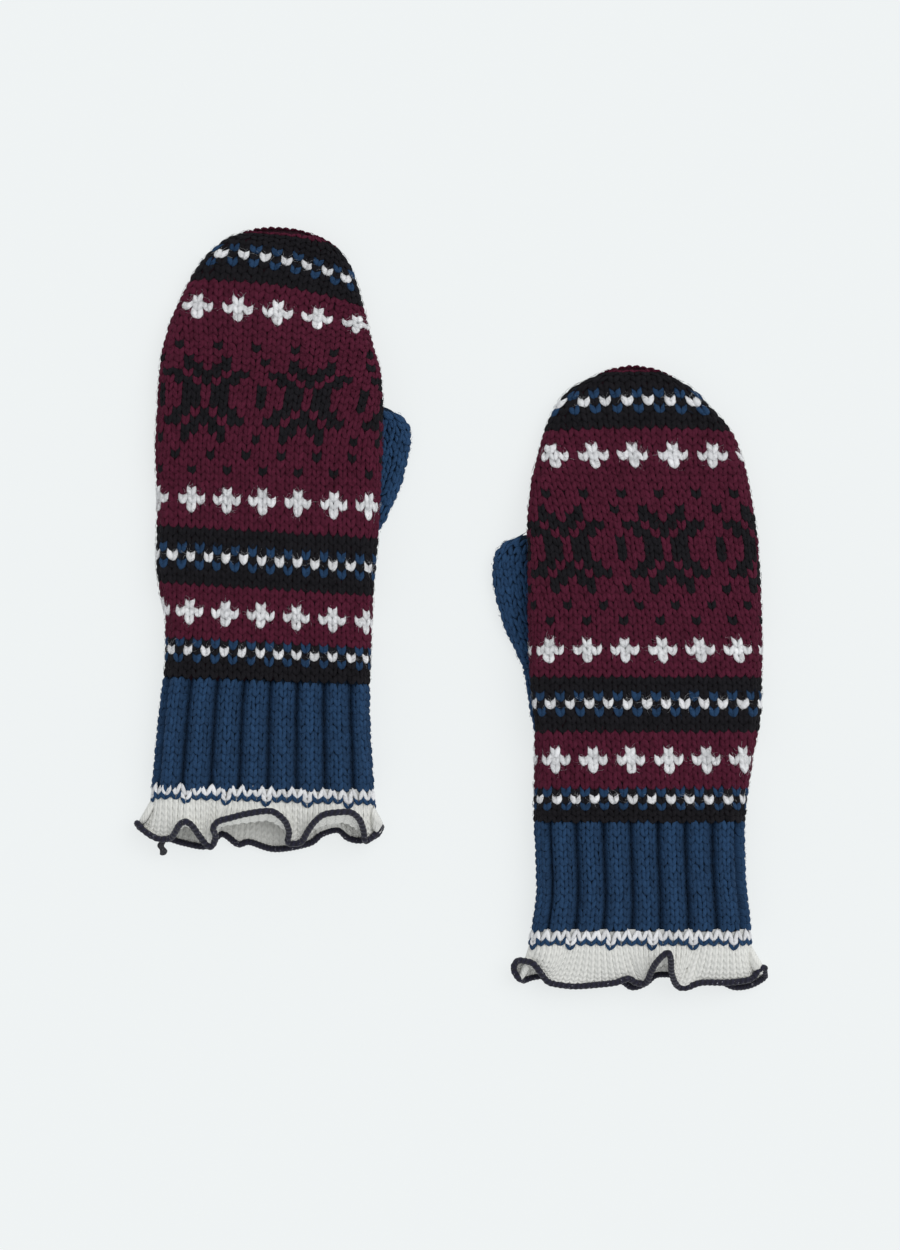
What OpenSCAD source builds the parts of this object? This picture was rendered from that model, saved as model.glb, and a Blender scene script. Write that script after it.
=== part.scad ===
// A pair of knitted mittens lying flat with the backs of the hands up.
// Millimetres. +Z is up from the surface they lie on, +Y runs toward the fingertips and +X to the right.
// The origin is the bottom centre of the pair's bounding box. Each mitten is eight pieces: a colourwork hand,
// the grafted seam at its tip, a thumb with the ring of stitches it grows from, a ribbed cuff, a two-colour
// band, a ruffled frill and the rolled edging round the frill.

/* [Pair] */
// Distance between the centre lines of the two mittens
pair_spacing = 165.4; // [135:0.2:210]
// How far the right mitten lies nearer the wearer than the left one
pair_stagger = 61; // [0:1:110]

/* [Hand] */
// Width of the flat hand across the knuckles
hand_width = 101; // [90:0.5:118]
// Length of the hand from the wrist seam to the fingertip end
hand_length = 199; // [180:1:235]
// Thickness of the hand lying flat
hand_depth = 13; // [12:0.5:18]
// Length of the rounded crown at the fingertips
crown_length = 80; // [50:1:84]
// Fullness of the crown's corners, 2 is an ellipse and more is squarer
crown_power = 2.3; // [2:0.1:3.2]
// Thickness of the crown at its tip
tip_depth = 8; // [6.5:0.5:10]
// Thickness of the colourwork fabric
hand_wall = 1.6; // [1.2:0.1:2]
// How far the back of the hand swells up over the thumb beneath
back_swell = 5.5; // [4.5:0.5:8]

/* [Thumb] */
// Width of the flat thumb
thumb_width = 35; // [28:0.5:38]
// Thickness of the thumb lying flat under the palm
thumb_depth = 7; // [6.8:0.2:9]
// Length of the thumb from the middle of its root to its tip
thumb_length = 68; // [52:1:74]
// Height of the thumb's root above the wrist seam
thumb_root_rise = 58; // [52:1:66]
// How far the thumb leans out from the hand's length
thumb_lean = 20; // [10:1:28]
// Thickness of the thumb's fabric
thumb_wall = 1.3; // [1:0.1:1.3]

/* [Cuff] */
// Width of the flat cuff at the wrist
cuff_width = 93; // [82:0.5:100]
// Thickness of the cuff lying flat
cuff_depth = 16; // [15:0.5:20]
// Length of the ribbing
cuff_length = 45.5; // [30:0.5:80]
// Thickness of the ribbed fabric
cuff_wall = 2; // [1.4:0.1:2.4]
// Length of the two-colour band below the ribbing
band_length = 9.5; // [6:0.5:20]
// How much wider the band is than the cuff
band_gain = 2; // [0:0.5:6]

/* [Frill] */
// Length of the frill below the band, its edging included
frill_length = 17; // [12:0.5:30]
// Width of the frill at its edge
frill_width = 108; // [104:0.5:124]
// Number of ruffles round the frill, an even number
ruffle_count = 12; // [8:2:14]
// Height of each ruffle, half of it from crest to trough
ruffle_height = 1.6; // [0.6:0.1:1.8]
// Thickness of the frill's fabric
frill_wall = 1.6; // [1.2:0.1:2]
// Diameter of the rolled edging
edging_width = 2.4; // [2:0.1:2.8]

/* [Hidden] */

// Clearances
wrist_gap = 0.2;        // between the hand and the cuff, which turn against each other
thumb_gap = 0.3;        // between the top of the thumb and the palm above it
root_margin = 1.5;      // between the thumb's round root and the foot of the raised palm

// Yarn colours
burgundy = [0.29, 0.07, 0.13];
navy_blue = [0.13, 0.23, 0.36];
white_wool = [0.80, 0.80, 0.77];
edge_navy = [0.10, 0.10, 0.15];

// Mesh steps
flat_steps = 10;        // across each flat face of a section
arc_steps = 6;          // round each side of a section
frill_steps = ruffle_count * 8;
edging_sides = 8;

// Where the pieces sit along each mitten, measured from the wrist seam
seam_r = 2;
cap_y = hand_length - seam_r;
crown_y = hand_length - crown_length;
widen_length = 0.38 * hand_length;
frill_y = -cuff_length - band_length;
hem_y = frill_y - frill_length;
below = -hem_y;
full_length = below + hand_length;

// The pair's layout about the origin
half_spacing = pair_spacing / 2;
left_y = -(full_length + pair_stagger) / 2 + below + pair_stagger;
right_y = left_y - pair_stagger;

// The thumb's root and the part of the palm that is raised over it
root_r = thumb_width / 2;
root_x = hand_width / 2 - 0.64 * thumb_width;
root_y = thumb_root_rise;
thumb_room = thumb_depth + thumb_gap;
ramp_y1 = root_y - root_r - root_margin;
ramp_y0 = ramp_y1 - 8;
room_x1 = root_x - root_r - 8;
room_x0 = room_x1 - 26;
room_y2 = root_y + thumb_length + 4;
room_y3 = room_y2 + 36;

function smooth(t) = let (c = min(1, max(0, t))) c * c * (3 - 2 * c);
function mix(a, b, t) = a + (b - a) * t;
function unit(v) = v / norm(v);

// Half the width of the hand at height y above the wrist seam
function hand_half(y) =
    y <= crown_y
    ? mix(cuff_width, hand_width, smooth(y / widen_length)) / 2
    : hand_width / 2 * pow(1 - pow((y - crown_y) / crown_length, 2), 1 / crown_power);

// Thickness of the hand at height y
function hand_thick(y) =
    y <= crown_y
    ? mix(cuff_depth, hand_depth, smooth(y / widen_length))
    : mix(hand_depth, tip_depth, smooth((y - crown_y) / crown_length));

// How far the palm is raised at (x, y) to lie over the thumb, with the thumb on the +X side
function palm_raise(x, y) =
    thumb_room * smooth((x - room_x0) / (room_x1 - room_x0)) * smooth((y - ramp_y0) / (ramp_y1 - ramp_y0))
    * (1 - smooth((y - room_y2) / (room_y3 - room_y2)));

// How far the back of the hand domes up above the thumb, in a softer swell than the palm
function back_raise(x, y) =
    back_swell * smooth((x - room_x0 + 20) / (room_x1 - room_x0 + 34)) * smooth(y / (ramp_y1 + 14))
    * (1 - smooth((y - room_y2 + 20) / (room_y3 - room_y2 + 26)));

// Flat section with round sides, as [x, z] points: top left to right, right side, bottom, left side
function section(half, thick, z0) =
    let (r = thick / 2, f = half - r, turn = 180 / arc_steps)
    concat(
        [for (i = [0 : flat_steps]) [mix(-f, f, i / flat_steps), z0 + thick]],
        [for (i = [1 : arc_steps - 1]) [f + r * sin(turn * i), z0 + r + r * cos(turn * i)]],
        [for (i = [0 : flat_steps]) [mix(f, -f, i / flat_steps), z0]],
        [for (i = [1 : arc_steps - 1]) [-f - r * sin(turn * i), z0 + r - r * cos(turn * i)]]
    );

// Heights of the hand's rows: the wrist, the ramp up over the thumb, the palm and the crown
hand_rows = concat(
    [for (i = [0 : 4]) mix(wrist_gap, ramp_y0, i / 5)],
    [for (i = [0 : 3]) mix(ramp_y0, ramp_y1, i / 3)],
    [for (i = [1 : 8]) mix(ramp_y1, crown_y, i / 8)],
    [for (i = [1 : 13]) mix(crown_y, cap_y, sin(90 * i / 13))]
);
slit_row0 = 5;          // the thumb's slit spans the ramp's rows
slit_row1 = 8;
slit_col0 = flat_steps + arc_steps;
slit_col1 = slit_col0 + 3;

function hand_row(y, inner) =
    let (
        w = inner ? hand_wall : 0,
        deep = hand_thick(y) - 2 * w,
        yy = inner ? mix(wrist_gap, cap_y - hand_wall, (y - wrist_gap) / (cap_y - wrist_gap)) : y
    )
    [for (p = section(hand_half(y) - w, deep, w))
        [p[0], yy, p[1] + mix(palm_raise(p[0], y), back_raise(p[0], y), (p[1] - w) / deep)]];

// Two triangles for the four-sided face a, b, c, d
function quad(a, b, c, d) = [[a, b, c], [a, c, d]];
function join(lists) = [for (l = lists) each l];
function middle(points) = [for (p = points) 1] * points / len(points);

// A hollow skin from rows of outer and inner points. The first row is its open mouth, the last is closed
// unless open is true, and a slit of cells may be left open between rows j0..j1 and columns i0..i1.
module skin(outer, inner, open = false, slit = [0, 0, 0, 0]) {
    n = len(outer[0]);
    rows = len(outer);
    base = n * rows;
    function in_slit(i, j) = i >= slit[0] && i < slit[1] && j >= slit[2] && j < slit[3];
    function at(i, j) = j * n + (i + n) % n;
    // the wall's edge between two neighbouring points a and b of the skin
    function rim(a, b) = quad(a, b, base + b, base + a);
    sides = [for (j = [0 : rows - 2], i = [0 : n - 1]) if (!in_slit(i, j)) each concat(
        quad(at(i, j), at(i, j + 1), at(i + 1, j + 1), at(i + 1, j)),
        quad(base + at(i, j), base + at(i + 1, j), base + at(i + 1, j + 1), base + at(i, j + 1)))];
    mouth = [for (i = [0 : n - 1]) each rim(at(i, 0), at(i + 1, 0))];
    last = rows - 1;
    end = open
        ? [for (i = [0 : n - 1]) each rim(at(i + 1, last), at(i, last))]
        : [for (i = [0 : n - 1]) each [
            [at(i + 1, last), at(i, last), 2 * base],
            [base + at(i, last), base + at(i + 1, last), 2 * base + 1]]];
    lips = slit[1] <= slit[0] ? [] : concat(
        [for (i = [slit[0] : slit[1] - 1]) each concat(
            rim(at(i + 1, slit[2]), at(i, slit[2])), rim(at(i, slit[3]), at(i + 1, slit[3])))],
        [for (j = [slit[2] : slit[3] - 1]) each concat(
            rim(at(slit[0], j), at(slit[0], j + 1)), rim(at(slit[1], j + 1), at(slit[1], j)))]);
    centres = open ? [] : [middle(outer[last]), middle(inner[last])];
    polyhedron(concat(join(outer), join(inner), centres), concat(sides, mouth, end, lips), convexity = 10);
}

// A closed loop of yarn of radius r along points, with up across the loop
module yarn_loop(points, r, up, sides) {
    n = len(points);
    rings = [for (k = [0 : n - 1])
        let (
            t = unit(points[(k + 1) % n] - points[(k + n - 1) % n]),
            u = unit(cross(t, up)),
            v = cross(u, t)
        )
        [for (s = [0 : sides - 1]) points[k] + r * (cos(360 * s / sides) * u + sin(360 * s / sides) * v)]];
    faces = [for (k = [0 : n - 1], s = [0 : sides - 1]) each quad(
        k * sides + s, k * sides + (s + 1) % sides,
        ((k + 1) % n) * sides + (s + 1) % sides, ((k + 1) % n) * sides + s)];
    polyhedron(join(rings), faces, convexity = 8);
}

// --- one mitten, thumb on the +X side, wrist seam at y = 0 ---

module hand() {
    color(burgundy)
        skin([for (y = hand_rows) hand_row(y, false)], [for (y = hand_rows) hand_row(y, true)],
            slit = [slit_col0, slit_col1, slit_row0, slit_row1]);
}

// Grafted seam across the tip of the crown
module crown_seam() {
    reach = hand_half(cap_y) - seam_r;
    color(burgundy)
        translate([0, cap_y, tip_depth / 2]) rotate([0, 90, 0])
            rotate_extrude($fn = 32) polygon([for (s = [-1, 1], a = [0 : 10 : 90])
                [seam_r * (s < 0 ? sin(a) : cos(a)), s * (reach + seam_r * (s < 0 ? cos(a) : sin(a)))]]);
}

// Ring of picked-up stitches round the thumb's slit in the palm
seam_mid = [for (j = [slit_row0 : slit_row1])
    (hand_row(hand_rows[j], false) + hand_row(hand_rows[j], true)) / 2];
thumb_ring = concat(
    [for (i = [slit_col0 : slit_col1 - 1]) seam_mid[0][i]],
    [for (j = [0 : slit_row1 - slit_row0 - 1]) seam_mid[j][slit_col1]],
    [for (i = [slit_col1 : -1 : slit_col0 + 1]) seam_mid[slit_row1 - slit_row0][i]],
    [for (j = [slit_row1 - slit_row0 : -1 : 1]) seam_mid[j][slit_col0]]
);

module thumb_seam() {
    color(navy_blue) yarn_loop(thumb_ring, 1, [0, -0.7, 0.7], 8);
}

// Half the width of the thumb at height y above the middle of its root
tip_round = 0.62 * thumb_width;
function thumb_half(y) =
    y < 0 ? sqrt(root_r * root_r - y * y)
    : y <= thumb_length - tip_round ? root_r
    : root_r * pow(1 - pow((y - thumb_length + tip_round) / tip_round, 2), 0.45);

thumb_cap = thumb_length - 0.6;
thumb_rows = concat(
    [for (i = [0 : 3]) -0.8 * root_r * cos(90 * i / 4)],
    [for (i = [0 : 4]) mix(0, thumb_length - tip_round, i / 4)],
    [for (i = [1 : 7]) mix(thumb_length - tip_round, thumb_cap, sin(90 * i / 7))]
);

function thumb_row(y, inner) =
    let (
        w = inner ? thumb_wall : 0,
        low = -0.8 * root_r,
        yy = inner ? mix(low, thumb_cap - thumb_wall, (y - low) / (thumb_cap - low)) : y
    )
    [for (p = section(thumb_half(y) - w, thumb_depth - 2 * w, w)) [p[0], yy, p[1]]];

module thumb() {
    color(navy_blue)
        translate([root_x, root_y, 0]) rotate([0, 0, -thumb_lean])
            skin([for (y = thumb_rows) thumb_row(y, false)], [for (y = thumb_rows) thumb_row(y, true)]);
}

// Flat tube with round sides from y down to y - length, lying on the surface
module flat_tube(width, depth, wall, y, length) {
    translate([0, y, 0]) rotate([90, 0, 0])
        linear_extrude(height = length) difference() {
            flat_outline(width, depth, 0);
            flat_outline(width, depth, wall);
        }
}

module flat_outline(width, depth, inset) {
    r = depth / 2 - inset;
    f = width / 2 - depth / 2;
    translate([-f, inset]) square([2 * f, 2 * r]);
    for (s = [-1, 1]) translate([s * f, depth / 2]) circle(r = r, $fn = 64);
}

module cuff() {
    color(navy_blue) flat_tube(cuff_width, cuff_depth, cuff_wall, 0, cuff_length);
}

module hem_band() {
    color(white_wool) flat_tube(cuff_width + band_gain, cuff_depth, cuff_wall, -cuff_length, band_length);
}

// A point at fraction s of the way round a flat section, moved out by d: [x, z]. It starts midway down the
// right side and goes by way of the bottom.
function round_at(s, half, thick, d) =
    let (
        r = thick / 2, f = 2 * (half - r), arc = PI * r, full = 2 * (f + arc),
        from_top = s * full + f + arc / 2,
        u = from_top >= full ? from_top - full : from_top,
        a = u < f ? 90 : u < f + arc ? 90 - 180 * (u - f) / arc
            : u < 2 * f + arc ? -90 : -90 - 180 * (u - 2 * f - arc) / arc,
        x = u < f ? -f / 2 + u : u < f + arc ? f / 2 : u < 2 * f + arc ? f / 2 - (u - f - arc) : -f / 2
    )
    [x + (r + d) * cos(a), r + (r + d) * sin(a)];

frill_end = hem_y + edging_width / 2;
edge_rise = max(0, edging_width / 2 - frill_wall / 2);
frill_rows = 4;

// One row of the frill at fraction t of its length, moved in by inset
function frill_row(t, inset) =
    [for (k = [0 : frill_steps - 1])
        let (
            s = k / frill_steps,
            d = ruffle_height * t * (cos(360 * ruffle_count * s) - 1) - edge_rise * t - inset,
            p = round_at(s, mix(cuff_width + band_gain, frill_width, pow(t, 1.4)) / 2, cuff_depth, d)
        )
        [p[0], mix(frill_y, frill_end, t), p[1]]];

module frill() {
    rows = [for (j = [frill_rows : -1 : 0]) j / frill_rows];
    color(white_wool)
        skin([for (t = rows) frill_row(t, 0)], [for (t = rows) frill_row(t, frill_wall)], open = true);
}

module frill_edging() {
    color(edge_navy) yarn_loop(frill_row(1, frill_wall / 2), edging_width / 2, [0, 1, 0], edging_sides);
}

// The left mitten has its thumb on the +X side, the right one is its mirror image
module left() translate([-half_spacing, left_y, 0]) children();
module right() translate([half_spacing, right_y, 0]) mirror([1, 0, 0]) children();

module left_hand() left() hand();
module left_crown_seam() left() crown_seam();
module left_thumb_seam() left() thumb_seam();
module left_thumb() left() thumb();
module left_cuff() left() cuff();
module left_hem_band() left() hem_band();
module left_frill() left() frill();
module left_frill_edging() left() frill_edging();
module right_hand() right() hand();
module right_crown_seam() right() crown_seam();
module right_thumb_seam() right() thumb_seam();
module right_thumb() right() thumb();
module right_cuff() right() cuff();
module right_hem_band() right() hem_band();
module right_frill() right() frill();
module right_frill_edging() right() frill_edging();

left_hand();
left_crown_seam();
left_thumb_seam();
left_thumb();
left_cuff();
left_hem_band();
left_frill();
left_frill_edging();
right_hand();
right_crown_seam();
right_thumb_seam();
right_thumb();
right_cuff();
right_hem_band();
right_frill();
right_frill_edging();
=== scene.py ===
"""A pair of knitted colourwork mittens, laid flat with the backs of the hands up.

Every visible surface is knitted: each stitch is two legs of yarn, laid row by row on the shape of its part.
Shapes are worked out in millimetres in each mitten's own layout, where y is 0 at the wrist seam and runs
toward the fingertips, x is 0 on the mitten's centre line and z is 0 on the surface it lies on.
"""

import logging
import math
from dataclasses import dataclass, field
from enum import Enum
from typing import Callable, Protocol, Sequence, Union

import bmesh
import bpy
import numpy as np
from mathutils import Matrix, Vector


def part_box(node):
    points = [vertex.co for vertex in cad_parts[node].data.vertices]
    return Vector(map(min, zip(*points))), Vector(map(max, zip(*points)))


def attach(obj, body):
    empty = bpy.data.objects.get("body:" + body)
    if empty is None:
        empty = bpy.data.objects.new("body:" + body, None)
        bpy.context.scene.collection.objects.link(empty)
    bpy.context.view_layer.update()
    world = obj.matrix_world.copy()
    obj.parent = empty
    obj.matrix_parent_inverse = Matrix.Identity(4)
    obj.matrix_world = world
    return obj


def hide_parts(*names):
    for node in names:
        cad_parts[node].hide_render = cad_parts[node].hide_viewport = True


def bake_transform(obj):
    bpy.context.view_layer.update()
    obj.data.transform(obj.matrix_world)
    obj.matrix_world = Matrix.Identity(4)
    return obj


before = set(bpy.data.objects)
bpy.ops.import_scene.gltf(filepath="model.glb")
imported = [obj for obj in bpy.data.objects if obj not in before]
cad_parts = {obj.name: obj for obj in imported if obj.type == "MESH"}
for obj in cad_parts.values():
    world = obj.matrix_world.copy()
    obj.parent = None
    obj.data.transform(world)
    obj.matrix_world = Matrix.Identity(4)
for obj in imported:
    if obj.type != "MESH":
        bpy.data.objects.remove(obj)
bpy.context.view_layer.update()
LOG = logging.getLogger("mittens")
MM = 0.001
STITCH_WIDTH = 4.0
ROW_HEIGHT = 3.43
FRILL_WALES = 88
EDGE_WRAPS = 150
Span = tuple[float, float]
Point = tuple[float, float, float]
Stations = Sequence[Span]
Skin = Callable[[np.ndarray, np.ndarray], np.ndarray]
Route = Callable[[np.ndarray], np.ndarray]
Value = Union[bpy.types.NodeSocket, float, Sequence[float]]


class Side(Enum):
    """Which hand a mitten is for."""

    LEFT = "left"
    RIGHT = "right"


class Yarn(Enum):
    """The yarns of the pair."""

    BURGUNDY = "burgundy"
    BLACK = "black"
    BLUE = "blue"
    WHITE = "white"


CHART_LETTERS = {"r": Yarn.BURGUNDY, "k": Yarn.BLACK, "b": Yarn.BLUE, "w": Yarn.WHITE}


# --- curves and sections ---


def smooth(t: np.ndarray) -> np.ndarray:
    """Rises from 0 to 1 with level ends as t goes from 0 to 1."""
    c = np.clip(t, 0.0, 1.0)
    return c * c * (3 - 2 * c)


def ramp(value: np.ndarray, span: Span) -> np.ndarray:
    """Rises from 0 to 1 with level ends as the value crosses a span."""
    return smooth((value - span[0]) / (span[1] - span[0]))


class Tube(Protocol):
    """What the shape of a tube gives to the knitting that is laid on it."""

    def skin(self, arc: np.ndarray, run: np.ndarray) -> np.ndarray:
        """A point at a distance round and along the tube."""

    def quarter(self, run: np.ndarray) -> np.ndarray:
        """A quarter of the distance round the tube."""


def distances(run: np.ndarray) -> np.ndarray:
    """How far along a run of points each of them lies."""
    return np.concatenate([[0.0], np.cumsum(np.linalg.norm(np.diff(run, axis=0), axis=1))])


def follow(at: np.ndarray, far: np.ndarray, run: np.ndarray) -> np.ndarray:
    """Finds places along a run of points.

    Args:
        at: the places, as distances along it.
        far: the distance along it of each of its points.
        run: its points.

    Returns:
        The places, with x, y and any z last.
    """
    return np.stack([np.interp(at, far, run[:, axis]) for axis in range(run.shape[1])], axis=-1)


class StationCurve:
    """A curve through given stations that never swings past them."""

    def __init__(self, stations: Stations) -> None:
        """Works out the slope at each station.

        Args:
            stations: (position, value) pairs in rising order of position.
        """
        self.at, self.value = np.array(stations, float).T
        step = np.diff(self.at)
        rise = np.diff(self.value) / step
        self.slope = np.concatenate([rise[:1], np.zeros(len(rise) - 1), rise[-1:]])
        for i in range(1, len(rise)):
            if rise[i - 1] * rise[i] > 0:
                before, after = 2 * step[i] + step[i - 1], step[i] + 2 * step[i - 1]
                self.slope[i] = (before + after) / (before / rise[i - 1] + after / rise[i])

    def __call__(self, at: np.ndarray) -> np.ndarray:
        """The curve's value, carried on straight beyond its ends.

        Args:
            at: positions along the curve.

        Returns:
            The values there.
        """
        at = np.asarray(at, float)
        inside = np.clip(at, self.at[0], self.at[-1])
        i = np.clip(np.searchsorted(self.at, inside) - 1, 0, len(self.at) - 2)
        step = self.at[i + 1] - self.at[i]
        t = (inside - self.at[i]) / step
        start = (1 + 2 * t) * (1 - t) ** 2 * self.value[i] + t * (1 - t) ** 2 * step * self.slope[i]
        end = t * t * (3 - 2 * t) * self.value[i + 1] + t * t * (t - 1) * step * self.slope[i + 1]
        edge = np.where(at > self.at[-1], self.slope[-1], self.slope[0])
        return start + end + edge * (at - inside)


def stadium(arc: np.ndarray, half: np.ndarray, thick: np.ndarray) -> tuple[np.ndarray, np.ndarray]:
    """A point on a flat section with round sides.

    Args:
        arc: distance round it from the middle of the top, toward +x first.
        half: half its width.
        thick: its thickness.

    Returns:
        The point's x from the section's middle, and its height from 0 at the bottom to 1 at the top.
    """
    r = np.minimum(thick / 2, half)
    flat = half - r
    quarter = flat + math.pi * r / 2
    arc = (arc + 2 * quarter) % (4 * quarter) - 2 * quarter
    sign, run = np.sign(arc), np.abs(arc)
    turn = np.clip((run - flat) / np.maximum(r, 1e-6), 0, math.pi)
    under = np.clip(run - flat - math.pi * r, 0, None)
    return sign * (np.minimum(run, flat) - under + r * np.sin(turn)), (1 + np.cos(turn)) / 2


def quarter_round(half: np.ndarray, thick: np.ndarray) -> np.ndarray:
    """A quarter of the distance round a flat section with round sides."""
    r = np.minimum(thick / 2, half)
    return half - r + math.pi * r / 2


def outward(skin: Skin, arc: np.ndarray, run: np.ndarray) -> np.ndarray:
    """Unit directions straight out of a skin.

    Args:
        skin: gives the point at a distance round and a distance along.
        arc: distances round.
        run: distances along.

    Returns:
        The directions, with x, y and z last.
    """
    reach = 0.35
    round_it = skin(arc + reach, run) - skin(arc - reach, run)
    along_it = skin(arc, run + reach) - skin(arc, run - reach)
    out = np.cross(round_it, along_it)
    return out / np.maximum(np.linalg.norm(out, axis=-1, keepdims=True), 1e-9)


# --- the shape of one mitten ---


@dataclass(frozen=True)
class Layout:
    """Where one mitten lies and how its knitting runs, in millimetres.

    The outlines hold (y, x) stations up each side. The row stations give the height of a row of stitches on
    the centre line, lean and bow how far a row tilts and arches across the hand, and the column stations
    where the chart's first column runs and how wide its columns are.
    """

    side: Side
    outline_low_x: Stations
    outline_high_x: Stations
    tip: Span
    seam: Span
    rows: Stations
    lean: Stations
    bow: Stations
    first_column: Stations
    column_width: Stations
    flake_column: int
    groove_x: float
    block_column_x: float
    thumb_axis: Stations
    frill_top: Sequence[Point]
    frill_under: Sequence[Point]
    band_tilt: Span
    tail: Sequence[Point] = ()

    @property
    def thumb_sign(self) -> int:
        """+1 where the thumb is on the +x side, -1 where it is on the other."""
        return 1 if self.side is Side.LEFT else -1


@dataclass
class MittenShape:
    """The smooth shape that one mitten's stitches are laid on.

    The palm rises over the thumb and the back swells over it. Each does so across three spans: one across the
    hand, toward the thumb's side, and two along it, where it sets in and where it ends.
    """

    layout: Layout
    hand_thick: float = 13.0
    cuff_thick: float = 16.0
    tip_thick: float = 8.0
    tip_round: float = 6.0
    tip_gap: float = 0.02
    crown_y: float = 119.0
    widen_y: float = 75.6
    dome: float = 1.2
    dome_length: float = 30.0
    swell: float = 5.5
    swell_across: Span = (-43.4, 16.6)
    swell_start: Span = (0.0, 53.0)
    swell_end: Span = (110.0, 172.0)
    thumb_room: float = 7.3
    room_across: Span = (-23.4, 2.6)
    room_start: Span = (31.0, 39.0)
    room_end: Span = (130.0, 166.0)
    press_below: float = 0.1
    press_share: float = 0.2

    def __post_init__(self) -> None:
        """Reads the mitten's place from the frame and sets up its outlines."""
        layout = self.layout
        low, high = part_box(f"{layout.side.value}_cuff")
        self.origin = np.array([(low[0] + high[0]) / 2, high[1], 0.0])
        self.length, self.tip_x = layout.tip
        self.low_x = self._outline(layout.outline_low_x)
        self.high_x = self._outline(layout.outline_high_x)
        self.row_y = StationCurve(layout.rows)
        self.lean = StationCurve(layout.lean)
        self.bow = StationCurve(layout.bow)
        self.first_column = StationCurve(layout.first_column)
        self.column_width = StationCurve(layout.column_width)

    def _outline(self, stations: Stations) -> StationCurve:
        """One side's outline, as the square of its distance from the tip's middle so that it closes."""
        return StationCurve([(y, (x - self.tip_x) ** 2) for y, x in stations] + [(self.length, 0.0)])

    def half_and_middle(self, y: np.ndarray) -> tuple[np.ndarray, np.ndarray]:
        """How wide the mitten is and where its middle lies.

        Args:
            y: height above the wrist seam.

        Returns:
            Half its width there, and the x of its middle.
        """
        low = self.tip_x - np.sqrt(np.maximum(self.low_x(y), 0.01))
        high = self.tip_x + np.sqrt(np.maximum(self.high_x(y), 0.01))
        return (high - low) / 2, (high + low) / 2

    def thickness(self, y: np.ndarray) -> np.ndarray:
        """Thickness of the mitten, closing to nothing at the tip.

        Args:
            y: height above the wrist seam.

        Returns:
            The thickness there.
        """
        base = self.cuff_thick + (self.hand_thick - self.cuff_thick) * smooth(y / self.widen_y)
        base = base + (self.tip_thick - self.hand_thick) * ramp(y, (self.crown_y, self.length))
        into = np.clip((y - self.length + self.tip_round) / self.tip_round, 0, 1)
        return base * np.sqrt(np.maximum(1 - into * into, 0.004))

    def palm_rise(self, x: np.ndarray, y: np.ndarray) -> np.ndarray:
        """How far the palm lies above the surface at (x, y), over the thumb."""
        across = ramp(x * self.layout.thumb_sign, self.room_across)
        return self.thumb_room * across * ramp(y, self.room_start) * (1 - ramp(y, self.room_end))

    def back_rise(self, x: np.ndarray, y: np.ndarray) -> np.ndarray:
        """How far the back of the hand swells over the thumb at (x, y)."""
        across = ramp(x * self.layout.thumb_sign, self.swell_across)
        return self.swell * across * ramp(y, self.swell_start) * (1 - ramp(y, self.swell_end))

    def skin(self, arc: np.ndarray, y: np.ndarray) -> np.ndarray:
        """A point on the mitten's skin.

        Args:
            arc: distance round the section from the middle of the top.
            y: height above the wrist seam.

        Returns:
            The points, with x, y and z last.
        """
        y = np.minimum(y, self.length - self.tip_gap)
        half, middle = self.half_and_middle(y)
        thick = self.thickness(y)
        x, up = stadium(arc, half, thick)
        x = x + middle
        crest = np.clip(1 - ((x - middle) / np.maximum(half, 1)) ** 2, 0, 1)
        low = self.palm_rise(x, y)
        high = thick + self.back_rise(x, y) + self.dome * crest * smooth((self.length - y) / self.dome_length)
        return np.stack([x, y, low + (high - low) * up], axis=-1)

    def quarter(self, y: np.ndarray) -> np.ndarray:
        """A quarter of the distance round the mitten at height y."""
        return quarter_round(self.half_and_middle(y)[0], self.thickness(y))

    def place(self, points: np.ndarray) -> np.ndarray:
        """Moves points to the frame, pressed flat where they meet the surface that the mitten lies on.

        Args:
            points: points of the mitten's own layout.

        Returns:
            Their places in the frame, in metres, one to a row.
        """
        points = points.reshape(-1, 3).copy()
        under = points[:, 2] < self.press_below
        points[under, 2] = self.press_below + (points[under, 2] - self.press_below) * self.press_share
        return points * MM + self.origin


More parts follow.
